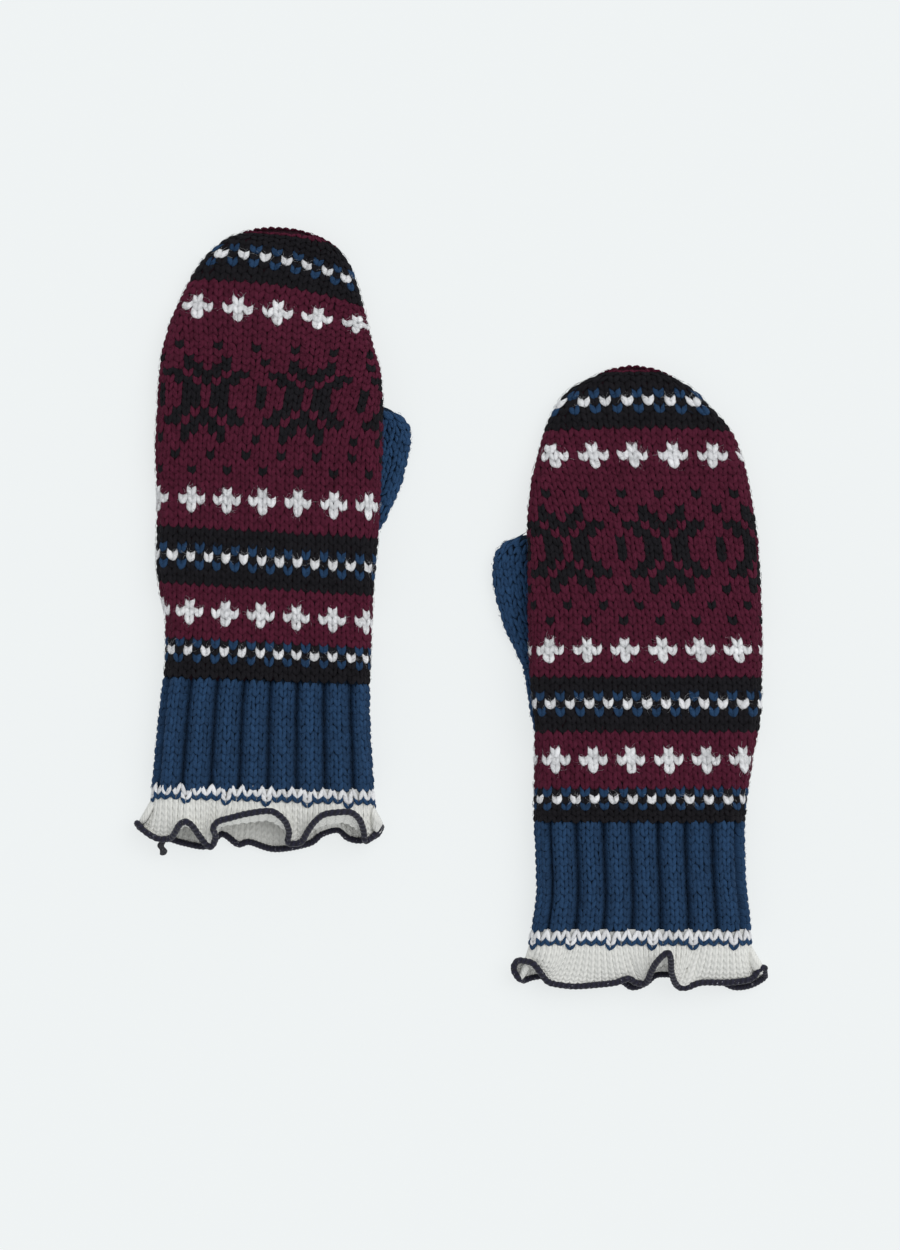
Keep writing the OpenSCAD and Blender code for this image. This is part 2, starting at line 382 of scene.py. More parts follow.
@dataclass
class ThumbShape:
    """The smooth shape of one thumb, a flat tube that bends out from under the palm."""

    layout: Layout
    half_width: float = 17.3
    thick: float = 7.0
    tip_length: float = 17.0
    tip_round: float = 5.0
    tip_rise: float = 0.35

    def __post_init__(self) -> None:
        """Measures the axis of the thumb."""
        axis = self.layout.thumb_axis
        self.sign = self.layout.thumb_sign
        y = np.linspace(axis[0][0], axis[-1][0], 200)
        x = StationCurve(axis)(y)
        run = np.concatenate([[0.0], np.cumsum(np.hypot(np.diff(x), np.diff(y)))])
        self.length = float(run[-1])
        self._run, self._x, self._y = run, x, y

    def half(self, run: np.ndarray) -> np.ndarray:
        """Half the thumb's width at a distance along its axis."""
        into = np.clip((run - self.length + self.tip_length) / self.tip_length, 0, 1)
        return self.half_width * np.maximum(1 - into**2.6, 0.002) ** 0.45

    def depth(self, run: np.ndarray) -> np.ndarray:
        """The thumb's thickness at a distance along its axis."""
        into = np.clip((run - self.length + self.tip_round) / self.tip_round, 0, 1)
        return self.thick * np.sqrt(np.maximum(1 - into * into, 0.01))

    def quarter(self, run: np.ndarray) -> np.ndarray:
        """A quarter of the distance round the thumb."""
        return quarter_round(self.half(run), self.depth(run))

    def skin(self, arc: np.ndarray, run: np.ndarray) -> np.ndarray:
        """A point on the thumb's skin.

        Args:
            arc: distance round the section from the middle of the top.
            run: distance along the axis.

        Returns:
            The points, with x, y and z last.
        """
        past = run - np.clip(run, 0, self.length)
        run = run - past
        step = 0.5
        ahead, behind = run + step, run - step
        dx = np.interp(ahead, self._run, self._x) - np.interp(behind, self._run, self._x)
        dy = np.interp(ahead, self._run, self._y) - np.interp(behind, self._run, self._y)
        size = np.hypot(dx, dy)
        x = np.interp(run, self._run, self._x) + past * dx / size
        y = np.interp(run, self._run, self._y) + past * dy / size
        depth = self.depth(run)
        out, up = stadium(arc * self.sign, self.half(run), depth)
        low = (self.thick - depth) * self.tip_rise
        return np.stack([(x + out * dy / size) * self.sign, y - out * dx / size, low + depth * up], axis=-1)


# --- stitches ---


@dataclass(frozen=True)
class StitchLeg:
    """One leg of a knit stitch, on a stitch of the template's width and row height, in millimetres.

    The leg runs from its foot at the bottom of the V, over its knee, to its head under the next row. The
    three points are (sideways, up the column, out of the cloth).
    """

    foot: Point = (0.12, -1.6, 0.2)
    knee: Point = (1.08, 1.3, 0.3)
    head: Point = (1.8, 4.5, -0.75)
    half_width: float = 1.18
    half_depth: float = 0.76
    sunk: float = 0.8
    fullness: float = 0.68
    lift: float = 0.44
    around: int = 6
    along: int = 6

    def points(self, t: np.ndarray) -> tuple[np.ndarray, np.ndarray]:
        """Points on the leg's centre line and the directions across it.

        Args:
            t: positions from 0 at the foot to 1 at the head.

        Returns:
            The points and the unit sideways directions.
        """
        foot, knee, head = (np.array(p) for p in (self.foot, self.knee, self.head))
        bend = 2 * knee - (foot + head) / 2
        t = t[..., None]
        at = (1 - t) ** 2 * foot + 2 * t * (1 - t) * bend + t * t * head
        along = 2 * (1 - t) * (bend - foot) + 2 * t * (head - bend)
        across = np.stack([along[..., 1], -along[..., 0]], axis=-1)
        return at, across / np.linalg.norm(across, axis=-1, keepdims=True)

    def ball(self) -> bpy.types.Mesh:
        """The ball that each leg is pulled out of.

        Returns:
            A mesh whose yarn and bake coordinates run round it and from end to end.
        """
        bm = bmesh.new()
        bmesh.ops.create_uvsphere(bm, u_segments=self.around, v_segments=self.along, radius=1.0)
        pole = 0.999
        bake = bm.loops.layers.uv.new("OFBake")
        yarn = bm.loops.layers.uv.new("yarn")
        for face in bm.faces:
            turns = [math.atan2(v.co.y, v.co.x) / math.tau for v in face.verts if abs(v.co.z) < pole]
            first = turns[0]
            turns = [first + (u - first + 0.5) % 1.0 - 0.5 for u in turns]
            middle = sum(turns) / len(turns)
            shift = 1.0 if middle < 0 else 0.0
            for loop in face.loops:
                co = loop.vert.co
                turn = middle
                if abs(co.z) < pole:
                    turn = first + (math.atan2(co.y, co.x) / math.tau - first + 0.5) % 1.0 - 0.5
                spot = (turn + shift, 1 - math.acos(max(-1.0, min(1.0, co.z))) / math.pi)
                loop[bake].uv = spot
                loop[yarn].uv = spot
        mesh = bpy.data.meshes.new("stitch_leg")
        bm.to_mesh(mesh)
        bm.free()
        return mesh


@dataclass(frozen=True)
class Spot:
    """Places in stitches: a column, how far aside from its middle, a row and the stitch's own whole row.

    The distance aside is that on the template's stitch, and a row's fraction is how far up the stitch it is.
    """

    column: np.ndarray
    aside: np.ndarray
    row: np.ndarray
    home: np.ndarray

    @property
    def place(self) -> np.ndarray:
        """The column, with a fraction for how far across it."""
        return self.column + self.aside / STITCH_WIDTH


class StitchBed:
    """A surface that stitches are laid on, by column and row."""

    def skin(self, arc: np.ndarray, run: np.ndarray) -> np.ndarray:
        """A point at a distance round and along the surface."""
        raise NotImplementedError

    def where(self, spot: Spot) -> tuple[np.ndarray, np.ndarray]:
        """The distance round and along the surface of a place in a stitch.

        Args:
            spot: the places in stitches.

        Returns:
            The distances round and along.
        """
        raise NotImplementedError

    def lay(self, spot: Spot, height: np.ndarray) -> np.ndarray:
        """Points at the given places and heights off the surface, with x, y and z last."""
        arc, run = self.where(spot)
        return self.skin(arc, run) + outward(self.skin, arc, run) * height[..., None]


class HandPanel(StitchBed):
    """The back or the palm of a mitten's hand, knitted in columns that fill it from side to side."""

    stretch_columns = 3
    row_count = 60
    tip_ease = 6.0
    side_x = 45.0

    def __init__(self, shape: MittenShape, palm: bool) -> None:
        """Finds the last column on each side of every row.

        Args:
            shape: the mitten.
            palm: True for the palm, False for the back.
        """
        self.shape = shape
        self.palm = palm
        rows = np.arange(0, self.row_count + 2, dtype=float)
        self.last = {}
        for sign in (-1, 1):
            side_y = self.slant(shape.row_y(rows), rows, np.full_like(rows, self.side_x * self._x_sign(sign)))
            for _ in range(3):
                half, middle = shape.half_and_middle(side_y)
                x = middle + self._x_sign(sign) * half
                side_y = self.slant(shape.row_y(rows), rows, x)
            reach = shape.quarter(side_y) - sign * self.start(side_y)
            self.last[sign] = np.maximum(np.round(reach / self.pitch(side_y) - 0.5), 0)

    def _x_sign(self, sign: int) -> int:
        """Which way along x the columns count on this panel."""
        return -sign if self.palm else sign

    def pitch(self, y: np.ndarray) -> np.ndarray:
        """Width of a column."""
        return self.shape.column_width(y)

    def start(self, y: np.ndarray) -> np.ndarray:
        """Where the first column runs.

        Args:
            y: height above the wrist seam.

        Returns:
            Its distance from the panel's middle.
        """
        if self.palm:
            return np.zeros_like(y)
        return self.shape.first_column(y) - self.shape.half_and_middle(y)[1]

    def slant(self, y: np.ndarray, row: np.ndarray, x: np.ndarray) -> np.ndarray:
        """A row's height away from the centre line, eased off near the tip.

        Args:
            y: its height on the centre line.
            row: the row.
            x: the distance from the centre line.

        Returns:
            Its height there.
        """
        y = y + self.shape.lean(row) * x + self.shape.bow(row) * x * x
        ease = self.tip_ease
        over = y - (self.shape.length - ease)
        return np.where(over > 0, self.shape.length - ease * np.exp(-np.maximum(over, 0) / ease), y)

    def skin(self, arc: np.ndarray, run: np.ndarray) -> np.ndarray:
        """A point of the panel, arc being measured from the panel's middle."""
        run = np.minimum(run, self.shape.length - self.shape.tip_gap)
        return self.shape.skin(arc + (2 * self.shape.quarter(run) if self.palm else 0.0), run)

    def where(self, spot: Spot) -> tuple[np.ndarray, np.ndarray]:
        """The distance round and along the panel, with the outer columns stretched to reach its sides.

        Args:
            spot: the places in stitches.

        Returns:
            The distances round and along.
        """
        level = self.shape.row_y(spot.row)
        y = level
        for _ in range(2):
            x = self.skin(self._arc(spot, y), y)[..., 0]
            y = self.slant(level, spot.row, x)
        return self._arc(spot, y), y

    def _arc(self, spot: Spot, y: np.ndarray) -> np.ndarray:
        """Where a column runs.

        Args:
            spot: the places in stitches.
            y: height above the wrist seam.

        Returns:
            The distance from the panel's middle.
        """
        place = spot.place
        start = self.start(y)
        pitch = self.pitch(y)
        quarter = self.shape.quarter(y)
        arc = start + place * pitch
        for sign in (-1, 1):
            last = sign * (self.last[sign][spot.home] + 0.5)
            gap = sign * quarter - (start + last * pitch)
            share = smooth((sign * (place - last) + self.stretch_columns) / self.stretch_columns)
            arc = arc + gap * share
        return np.clip(arc, -quarter, quarter)


class RingBed(StitchBed):
    """A tube knitted in rings, with the same number of columns all the way up or fewer toward its tip."""

    def __init__(self, shape: Tube, counts: Sequence[int], along: StationCurve, start: float) -> None:
        """Sets out the rings.

        Args:
            shape: the mitten or the thumb.
            counts: the number of columns in each row.
            along: distance along the tube by row.
            start: where the first column lies, as a distance round the tube at its first row.
        """
        self.shape = shape
        self.counts = np.array(counts)
        self.along = along
        self.start = start / (4 * float(shape.quarter(np.array(float(along(0.0))))))

    def skin(self, arc: np.ndarray, run: np.ndarray) -> np.ndarray:
        """A point on the tube."""
        return self.shape.skin(arc, run)

    def where(self, spot: Spot) -> tuple[np.ndarray, np.ndarray]:
        """The distance round and along the tube.

        Args:
            spot: the places in stitches.

        Returns:
            The distances round and along.
        """
        run = self.along(spot.row)
        girth = 4 * self.shape.quarter(run)
        return (self.start + spot.place / self.counts[spot.home]) * girth, run


@dataclass(frozen=True)
class RibProfile:
    """How one rib rises from its groove: three columns stand up and the fourth is sunk beside them.

    Its depths are in millimetres, and its widths are shares of a rib. The groove's flank sets in at
    groove_from, as a share of the way from the top of the rib to the bottom of the groove.
    """

    ribs: int = 17
    columns: int = 4
    column_share: float = 0.295
    purl_share: float = 0.17
    groove_depth: float = 3.3
    groove_from: float = 0.55
    roundness: float = 0.9

    def place(self, rib: np.ndarray, column: np.ndarray, girth: np.ndarray) -> np.ndarray:
        """Where the columns of the ribs run.

        Args:
            rib: the rib.
            column: its column.
            girth: distance round the cuff.

        Returns:
            The distance from the first groove.
        """
        pitch = girth / self.ribs
        knit = pitch / 2 + (column - 1) * pitch * self.column_share
        return rib * pitch + np.where(column == self.columns - 1, pitch, knit)

    def drop(self, arc: np.ndarray, girth: np.ndarray) -> np.ndarray:
        """How far the surface lies below the tops of the ribs."""
        from_top = np.abs((arc / (girth / self.ribs)) % 1.0 - 0.5) * 2
        return self.groove_depth * ramp(from_top, (self.groove_from, 1.0)) + self.roundness * from_top**3


class RibBed(StitchBed):
    """The ribbed cuff."""

    groove_y = -20.0
    tilted = (-26.0, -4.0)

    def __init__(self, shape: MittenShape, profile: RibProfile, along: StationCurve) -> None:
        """Sets out the ribs from the groove nearest the middle of the back.

        Args:
            shape: the mitten.
            profile: the form of a rib.
            along: height above the wrist seam by row.
        """
        self.shape = shape
        self.profile = profile
        self.along = along
        self.start = shape.layout.groove_x / (4 * float(shape.quarter(np.array(self.groove_y))))

    def skin(self, arc: np.ndarray, run: np.ndarray) -> np.ndarray:
        """A point on the cuff's smooth outside."""
        return self.shape.skin(arc, run)

    def where(self, spot: Spot) -> tuple[np.ndarray, np.ndarray]:
        """The distance round and along the cuff, its upper rows tilted as the hand's first row is.

        Args:
            spot: the places in stitches.

        Returns:
            The distances round and along.
        """
        run = self.along(spot.row)
        girth = 4 * self.shape.quarter(run)
        rib, within = np.divmod(spot.column, self.profile.columns)
        purl = within == self.profile.columns - 1
        share = np.where(purl, self.profile.purl_share, self.profile.column_share) / self.profile.ribs
        arc = self.start * girth + self.profile.place(rib, within, girth)
        arc = arc + spot.aside / STITCH_WIDTH * share * girth
        x = self.skin(arc, run)[..., 0]
        return arc, run + self.shape.lean(0) * x * ramp(run, self.tilted)

    def lay(self, spot: Spot, height: np.ndarray) -> np.ndarray:
        """Points on the ribs, which sink toward their grooves.

        Args:
            spot: the places in stitches.
            height: distance out from the tops of the ribs.

        Returns:
            The points, with x, y and z last.
        """
        arc, run = self.where(spot)
        girth = 4 * self.shape.quarter(run)
        drop = self.profile.drop(arc - self.start * girth, girth)
        return super().lay(spot, height - drop)


@dataclass
class Stitches:
    """Stitches of one yarn on one surface, waiting to be laid."""

    bed: StitchBed
    columns: list[float] = field(default_factory=list)
    rows: list[int] = field(default_factory=list)
    shades: list[float] = field(default_factory=list)

    def add(self, column: float, row: int, shade: float = 0.0) -> None:
        """Adds one stitch.

        Args:
            column: its column.
            row: its row.
            shade: how much lighter it is painted than the others of its yarn, darker below 0: painted
                highlight and painted shade.
        """
        self.columns.append(column)
        self.rows.append(row)
        self.shades.append(shade)


@dataclass(frozen=True)
class Hand:
    """How evenly the maker knits: the spread of each leg's place, size and slant."""

    sideways: float = 0.10
    along: float = 0.16
    out: float = 0.10
    width: float = 0.07
    sway: float = 0.10


class Knitter:
    """Turns stitches into one mesh of yarn legs."""

    def __init__(self, leg: StitchLeg, evenness: Hand, seed: int) -> None:
        """Takes the leg's form and how evenly it is knitted.

        Args:
            leg: the form of a leg.
            evenness: how much legs differ.
            seed: start of the random numbers.
        """
        self.leg = leg
        self.evenness = evenness
        self.rng = np.random.default_rng(seed)

    def knit(self, name: str, batch: Stitches, shape: MittenShape) -> bpy.types.Object:
        """Lays every leg of a batch.

        Args:
            name: the new object's name.
            batch: the stitches.
            shape: the mitten, which places the points.

        Returns:
            The new object, its mesh finished.
        """
        legs = 2 * len(batch.rows)
        ball = self.leg.ball()
        turn, height = ball_places(ball)
        obj = copies(name, ball, legs)
        points = shape.place(self._lay(batch, turn, height))
        # Each leg's lightness: the painted shade and highlight given to its stitch, plus a random tone of its
        # own.
        shades = np.repeat(batch.shades, 2) + self.rng.normal(0.0, 1.0, legs)
        finish_copies(obj.data, points, shades)
        return obj

    def _lay(self, batch: Stitches, turn: np.ndarray, t: np.ndarray) -> np.ndarray:
        """Places the points of all legs of one batch.

        Args:
            batch: the stitches.
            turn: where round the leg each point of its ball lies.
            t: where along the leg it lies.

        Returns:
            The points, leg by leg.
        """
        count = len(batch.rows)
        column = np.repeat(np.array(batch.columns, float), 2)[:, None]
        home = np.repeat(np.array(batch.rows), 2)[:, None]
        sign = np.tile([1.0, -1.0], count)[:, None]
        spread = self.evenness

        def jitter(size: float) -> np.ndarray:
            """One random number for each leg."""
            return self.rng.normal(0.0, size, (2 * count, 1))

        at, across = self.leg.points(t)
        full = np.sin(np.pi * t) ** self.leg.fullness
        wide = self.leg.half_width * full * np.cos(turn)[None, :] * (1 + jitter(spread.width))
        deep = self.leg.half_depth * full * np.sin(-turn)[None, :] * (1 + jitter(spread.width))
        sway = jitter(spread.sway) * t[None, :] * 2
        u = sign * at[:, 0] + wide * across[:, 0] + jitter(spread.sideways) + sway
        w = at[:, 1] + wide * sign * across[:, 1] + jitter(spread.along)
        h = at[:, 2] + deep - self.leg.sunk + jitter(spread.out)
        whole = home + np.zeros(u.shape, int)
        return batch.bed.lay(Spot(column + 0 * u, u, home + w / ROW_HEIGHT - self.leg.lift, whole), h)


@dataclass(frozen=True)
class Fuzz:
    """The loose fibres that stand off the yarn, in millimetres.

    A fibre starts anywhere within half_stitch of its stitch's middle, and its heading turns by about curl, in
    radians, from its root to its end.
    """

    per_stitch: float = 4.0
    half_stitch: Span = (1.7, 1.5)
    curl: float = 1.3
    reach: float = 1.5
    rise: float = 0.55
    base: float = 0.15
    half_width: float = 0.055
    around: int = 3
    along: int = 4

    def grow(self, name: str, batch: Stitches, shape: MittenShape, seed: int) -> bpy.types.Object:
        """Grows fibres over the stitches of one batch.

        Args:
            name: the new object's name.
            batch: the stitches.
            shape: the mitten, which places the points.
            seed: start of the random numbers.

        Returns:
            The new object, its mesh finished.
        """
        rng = np.random.default_rng(seed)
        count = max(int(self.per_stitch * len(batch.rows)), 1)
        ball = StitchLeg(around=self.around, along=self.along).ball()
        turn, t = ball_places(ball)
        obj = copies(name, ball, count)
        pick = rng.integers(0, len(batch.rows), count)
        column = np.array(batch.columns, float)[pick][:, None]
        home = np.array(batch.rows)[pick][:, None]
        heading = rng.uniform(0, math.tau, (count, 1))
        bend = rng.normal(0.0, self.curl, (count, 1))
        reach = self.reach * rng.uniform(0.5, 1.5, (count, 1))
        angle = heading + bend * t[None, :]
        wide = self.half_width * np.cos(turn)[None, :]
        aside, up = self.half_stitch
        u = rng.uniform(-aside, aside, (count, 1)) + np.cos(angle) * reach * t[None, :] - np.sin(angle) * wide
        w = rng.uniform(-up, up, (count, 1)) + np.sin(angle) * reach * t[None, :] + np.cos(angle) * wide
        rise = self.rise * rng.uniform(0.3, 1.7, (count, 1)) * np.sin(np.pi * (0.15 + 0.75 * t))[None, :]
        h = self.base + rise + self.half_width * np.sin(turn)[None, :]
        whole = home + np.zeros(u.shape, int)
        points = shape.place(batch.bed.lay(Spot(column + 0 * u, u, home + w / ROW_HEIGHT, whole), h))
        finish_copies(obj.data, points, rng.normal(2.0, 2.0, count))
        return obj


def ball_places(ball: bpy.types.Mesh) -> tuple[np.ndarray, np.ndarray]:
    """The turn round the leg and the place along it of each of a ball's points."""
    co = np.array([v.co for v in ball.vertices])
    return np.arctan2(co[:, 1], co[:, 0]), 1 - np.arccos(np.clip(co[:, 2], -1, 1)) / math.pi


def copies(name: str, mesh: bpy.types.Mesh, count: int) -> bpy.types.Object:
    """Makes an object whose mesh is a number of copies of one mesh, one after another.

    Args:
        name: the new object's name.
        mesh: the mesh that is copied.
        count: the number of copies.

    Returns:
        The new object.
    """
    obj = bpy.data.objects.new(name, mesh)
    bpy.context.scene.collection.objects.link(obj)
    repeat = obj.modifiers.new("copies", "ARRAY")
    repeat.count = count
    repeat.use_relative_offset = False
    apply_modifiers(obj)
    return obj


def finish_copies(mesh: bpy.types.Mesh, points: np.ndarray, shades: np.ndarray) -> None:
    """Moves a mesh of copies to its points and finishes it.

    Args:
        mesh: the mesh.
        points: where its points go, in the frame.
        shades: how light each copy is, its own random tone together with the painted shade and highlight of
            its part.
    """
    mesh.vertices.foreach_set("co", points.astype(np.float32).ravel())
    spread_cells(mesh, len(shades))
    # The lightness of each copy, random tone and painted shade and highlight together, for its material.
    tone_and_painted_light = mesh.attributes.new("tone_and_painted_light", "FLOAT", "POINT")
    each = np.repeat(shades, len(points) // len(shades))
    tone_and_painted_light.data.foreach_set("value", each.astype(np.float32))
    mesh.polygons.foreach_set("use_smooth", np.ones(len(mesh.polygons), bool))
    mesh.update()


def spread_cells(mesh: bpy.types.Mesh, count: int) -> None:
    """Gives each of a mesh's copies its own cell of the bake map.

    Args:
        mesh: the mesh.
        count: the number of its copies.
    """
    margin = 0.06
    reach = np.array([1.2, 1.0])
    layer = mesh.uv_layers["OFBake"]
    spots = np.empty(len(mesh.loops) * 2, np.float32)
    layer.data.foreach_get("uv", spots)
    spots = spots.reshape(count, -1, 2)
    across = math.ceil(math.sqrt(count))
    down = math.ceil(count / across)
    index = np.arange(count)
    corner = np.stack([index % across, index // across], axis=-1)[:, None, :]
    spots = (corner + margin + spots / reach * (1 - 2 * margin)) / np.array([across, down])
    layer.data.foreach_set("uv", spots.astype(np.float32).ravel())


def apply_modifiers(obj: bpy.types.Object) -> None:
    """Replaces an object's mesh with what its modifiers make of it, and clears them.

    Args:
        obj: the object.
    """
    graph = bpy.context.evaluated_depsgraph_get()
    graph.update()
    made = bpy.data.meshes.new_from_object(obj.evaluated_get(graph), depsgraph=graph)
    obj.modifiers.clear()
    old = obj.data
    obj.data = made
    made.name = obj.name
    bpy.data.meshes.remove(old)


class WovenShell:
    """A closed sheet of cloth made by wrapping a grid round a section."""

    join_within = 0.002
    bake_margin = (0.005, 0.01)

    @staticmethod
    def wrap(
        name: str, around: int, along: int, skin: Skin, shape: MittenShape, wall: float
    ) -> bpy.types.Object:
        """Wraps a grid into a tube with a wall.

        Args:
            name: the new object's name.
            around: cells round the tube.
            along: cells along it.
            skin: gives the point at fractions (round, along).
            shape: the mitten, which places the points.
            wall: thickness of the wall in millimetres, inward.

        Returns:
            The new object.
        """
        bm = bmesh.new()
        bmesh.ops.create_grid(bm, x_segments=around, y_segments=along, size=1.0, calc_uvs=False)
        bake = bm.loops.layers.uv.new("OFBake")
        yarn = bm.loops.layers.uv.new("yarn")
        left, low = WovenShell.bake_margin
        for face in bm.faces:
            for loop in face.loops:
                spot = (loop.vert.co.x / 2 + 0.5, loop.vert.co.y / 2 + 0.5)
                loop[bake].uv = (left + spot[0] * (0.5 - 2 * left), low + spot[1] * (1 - 2 * low))
                loop[yarn].uv = spot
        bm.verts.ensure_lookup_table()
        flat = np.array([v.co for v in bm.verts])
        points = shape.place(skin(flat[:, 0] / 2 + 0.5, flat[:, 1] / 2 + 0.5))
        for vert, point in zip(bm.verts, points):
            vert.co = point
        bmesh.ops.remove_doubles(bm, verts=bm.verts, dist=WovenShell.join_within * MM)
        bmesh.ops.recalc_face_normals(bm, faces=bm.faces)
        mesh = bpy.data.meshes.new(name)
        bm.to_mesh(mesh)
        bm.free()
        mesh.polygons.foreach_set("use_smooth", np.ones(len(mesh.polygons), bool))
        obj = bpy.data.objects.new(name, mesh)
        bpy.context.scene.collection.objects.link(obj)
        faces = len(mesh.polygons)
        if wall:
            walls = obj.modifiers.new("wall", "SOLIDIFY")
            walls.thickness = wall * MM
            walls.offset = -1.0
            apply_modifiers(obj)
            WovenShell._shift_inner(obj.data, faces)
        return obj

    @staticmethod
    def _shift_inner(mesh: bpy.types.Mesh, faces: int) -> None:
        """Moves the inner wall's bake coordinates to the other half of the map.

        Args:
            mesh: the mesh of both walls.
            faces: the number of faces of the outer wall, which come first.
        """
        layer = mesh.uv_layers["OFBake"].data
        for face in mesh.polygons[faces:]:
            for i in face.loop_indices:
                layer[i].uv.x += 0.5


# --- finishes ---


class Recipe:
    """Writes one node material."""

    def __init__(self, name: str) -> None:
        """Starts an empty material with a principled shader.

        Args:
            name: the material's name.
        """
        self.material = bpy.data.materials.new(name)
        self.material.use_nodes = True
        self.tree = self.material.node_tree
        self.tree.nodes.clear()
        out = self.node("ShaderNodeOutputMaterial")
        self.shader = self.node("ShaderNodeBsdfPrincipled")
        self.tree.links.new(self.shader.outputs["BSDF"], out.inputs["Surface"])

    def node(self, kind: str, **settings: object) -> bpy.types.Node:
        """A new node with its settings and unlinked inputs.

        Args:
            kind: the node's type.
            settings: node properties, or inputs by name with spaces as underscores.

        Returns:
            The node.
        """
        made = self.tree.nodes.new(kind)
        for key, value in settings.items():
            if hasattr(made, key):
                setattr(made, key, value)
            else:
                made.inputs[key.replace("_", " ")].default_value = value
        return made

    def wire(self, source: bpy.types.NodeSocket, node: bpy.types.Node, socket: Union[str, int]) -> None:
        """Links a socket into one of a node's inputs."""
        self.tree.links.new(source, node.inputs[socket])

    def feed(self, node: bpy.types.Node, socket: int, value: Value) -> None:
        """Links a socket into a node's input, or sets the input to a plain value.

        Args:
            node: the node.
            socket: the input's place among its inputs.
            value: the socket or the plain value.
        """
        if isinstance(value, bpy.types.NodeSocket):
            self.wire(value, node, socket)
        else:
            node.inputs[socket].default_value = value

    def math(
        self, operation: str, first: Value, second: Value = 0.0, third: Value = 0.0
    ) -> bpy.types.NodeSocket:
        """The result of a math node.

        Args:
            operation: the node's operation.
            first: its first input, a socket or a number.
            second: its second input.
            third: its third input.

        Returns:
            The result's socket.
        """
        made = self.node("ShaderNodeMath", operation=operation)
        for i, value in enumerate((first, second, third)):
            self.feed(made, i, value)
        return made.outputs[0]

    def blend(self, share: Value, first: Value, second: Value) -> bpy.types.NodeSocket:
        """A colour between two.

        Args:
            share: how much of the second there is, from 0 to 1.
            first: the first colour.
            second: the second colour.

        Returns:
            The colour's socket.
        """
        made = self.node("ShaderNodeMix", data_type="RGBA", blend_type="MIX")
        for socket, value in ((0, share), (6, first), (7, second)):
            self.feed(made, socket, value)
        return made.outputs[2]

    def noise(self, scale: float, detail: float, roughness: float = 0.5) -> bpy.types.NodeSocket:
        """Noise on object coordinates.

        Args:
            scale: its cells per metre.
            detail: its finer layers.
            roughness: how strong they are.

        Returns:
            The socket of its value.
        """
        place = self.node("ShaderNodeTexCoord")
        made = self.node("ShaderNodeTexNoise", Scale=scale, Detail=detail, Roughness=roughness)
        self.wire(place.outputs["Object"], made, "Vector")
        return made.outputs["Fac"]

    def yarn_place(self) -> tuple[bpy.types.NodeSocket, bpy.types.NodeSocket]:
        """Where on the yarn's own map a point lies.

        Returns:
            The sockets of its two coordinates.
        """
        spot = self.node("ShaderNodeUVMap", uv_map="yarn")
        parts = self.node("ShaderNodeSeparateXYZ")
        self.wire(spot.outputs["UV"], parts, 0)
        return parts.outputs[0], parts.outputs[1]

    def relief(self, height: bpy.types.NodeSocket, distance: float, strength: float) -> None:
        """Raises the shader's surface by a height.

        Args:
            height: the height's socket.
            distance: what a height of 1 is, in metres.
            strength: how far the relief shows.
        """
        made = self.node("ShaderNodeBump", Distance=distance, Strength=strength)
        self.wire(height, made, "Height")
        self.wire(made.outputs["Normal"], self.shader, "Normal")


def rgba(colour: Sequence[float], gain: float = 1.0) -> tuple[float, float, float, float]:
    """A colour with its brightness changed, as four channels."""
    return (min(colour[0] * gain, 1), min(colour[1] * gain, 1), min(colour[2] * gain, 1), 1.0)


@dataclass(frozen=True)
class WoolFinish:
    """A spun wool yarn: soft, matt and slightly hairy, with plies that twist along it."""

    name: str
    colour: tuple[float, float, float]
    mottle: float = 0.2
    leg_spread: float = 0.07
    ply_bump: float = 0.22
    fibre_bump: float = 0.35
    roughness: float = 0.92
    sheen: float = 0.25
    ply_turns: float = 2.2

    def material(self) -> bpy.types.Material:
        """Writes the yarn's material.

        Returns:
            The material.
        """
        r = Recipe(self.name)
        fleck = r.noise(2600.0, 4.0, 0.65)
        cloud = r.noise(240.0, 2.0)
        mixed = r.blend(fleck, rgba(self.colour, 1 - 2 * self.mottle), rgba(self.colour, 1 + 2 * self.mottle))
        mixed = r.blend(r.math("MULTIPLY", cloud, 0.3), mixed, rgba(self.colour, 0.85))
        # Lightness of each leg: its random tone, plus painted shade in the cuff's grooves and painted
        # highlight on the ribs and the thumb.
        tone_and_painted_light = r.node("ShaderNodeAttribute", attribute_name="tone_and_painted_light")
        shade = r.node("ShaderNodeHueSaturation")
        r.wire(mixed, shade, "Color")
        r.wire(r.math("MULTIPLY_ADD", tone_and_painted_light.outputs["Fac"], self.leg_spread, 1.0), shade, "Value")
        r.wire(shade.outputs["Color"], r.shader, "Base Color")
        r.shader.inputs["Roughness"].default_value = self.roughness
        r.shader.inputs["Specular IOR Level"].default_value = 0.2
        r.shader.inputs["Sheen Weight"].default_value = self.sheen
        r.shader.inputs["Sheen Roughness"].default_value = 0.45
        r.shader.inputs["Sheen Tint"].default_value = rgba(self.colour, 2.5)
        r.relief(self._twist(r, fleck), distance=0.00016, strength=1.0)
        return r.material

    def _twist(self, r: Recipe, fleck: bpy.types.NodeSocket) -> bpy.types.NodeSocket:
        """The height of twisted plies with loose fibres on them.

        Args:
            r: the material's recipe.
            fleck: the fine noise of the fibres.

        Returns:
            The height's socket.
        """
        around, along = r.yarn_place()
        twist = r.math("MULTIPLY_ADD", along, self.ply_turns, around)
        wave = r.math("SINE", r.math("MULTIPLY", twist, 2 * math.tau))
        return r.math("MULTIPLY_ADD", wave, self.ply_bump, r.math("MULTIPLY", fleck, self.fibre_bump * 4))


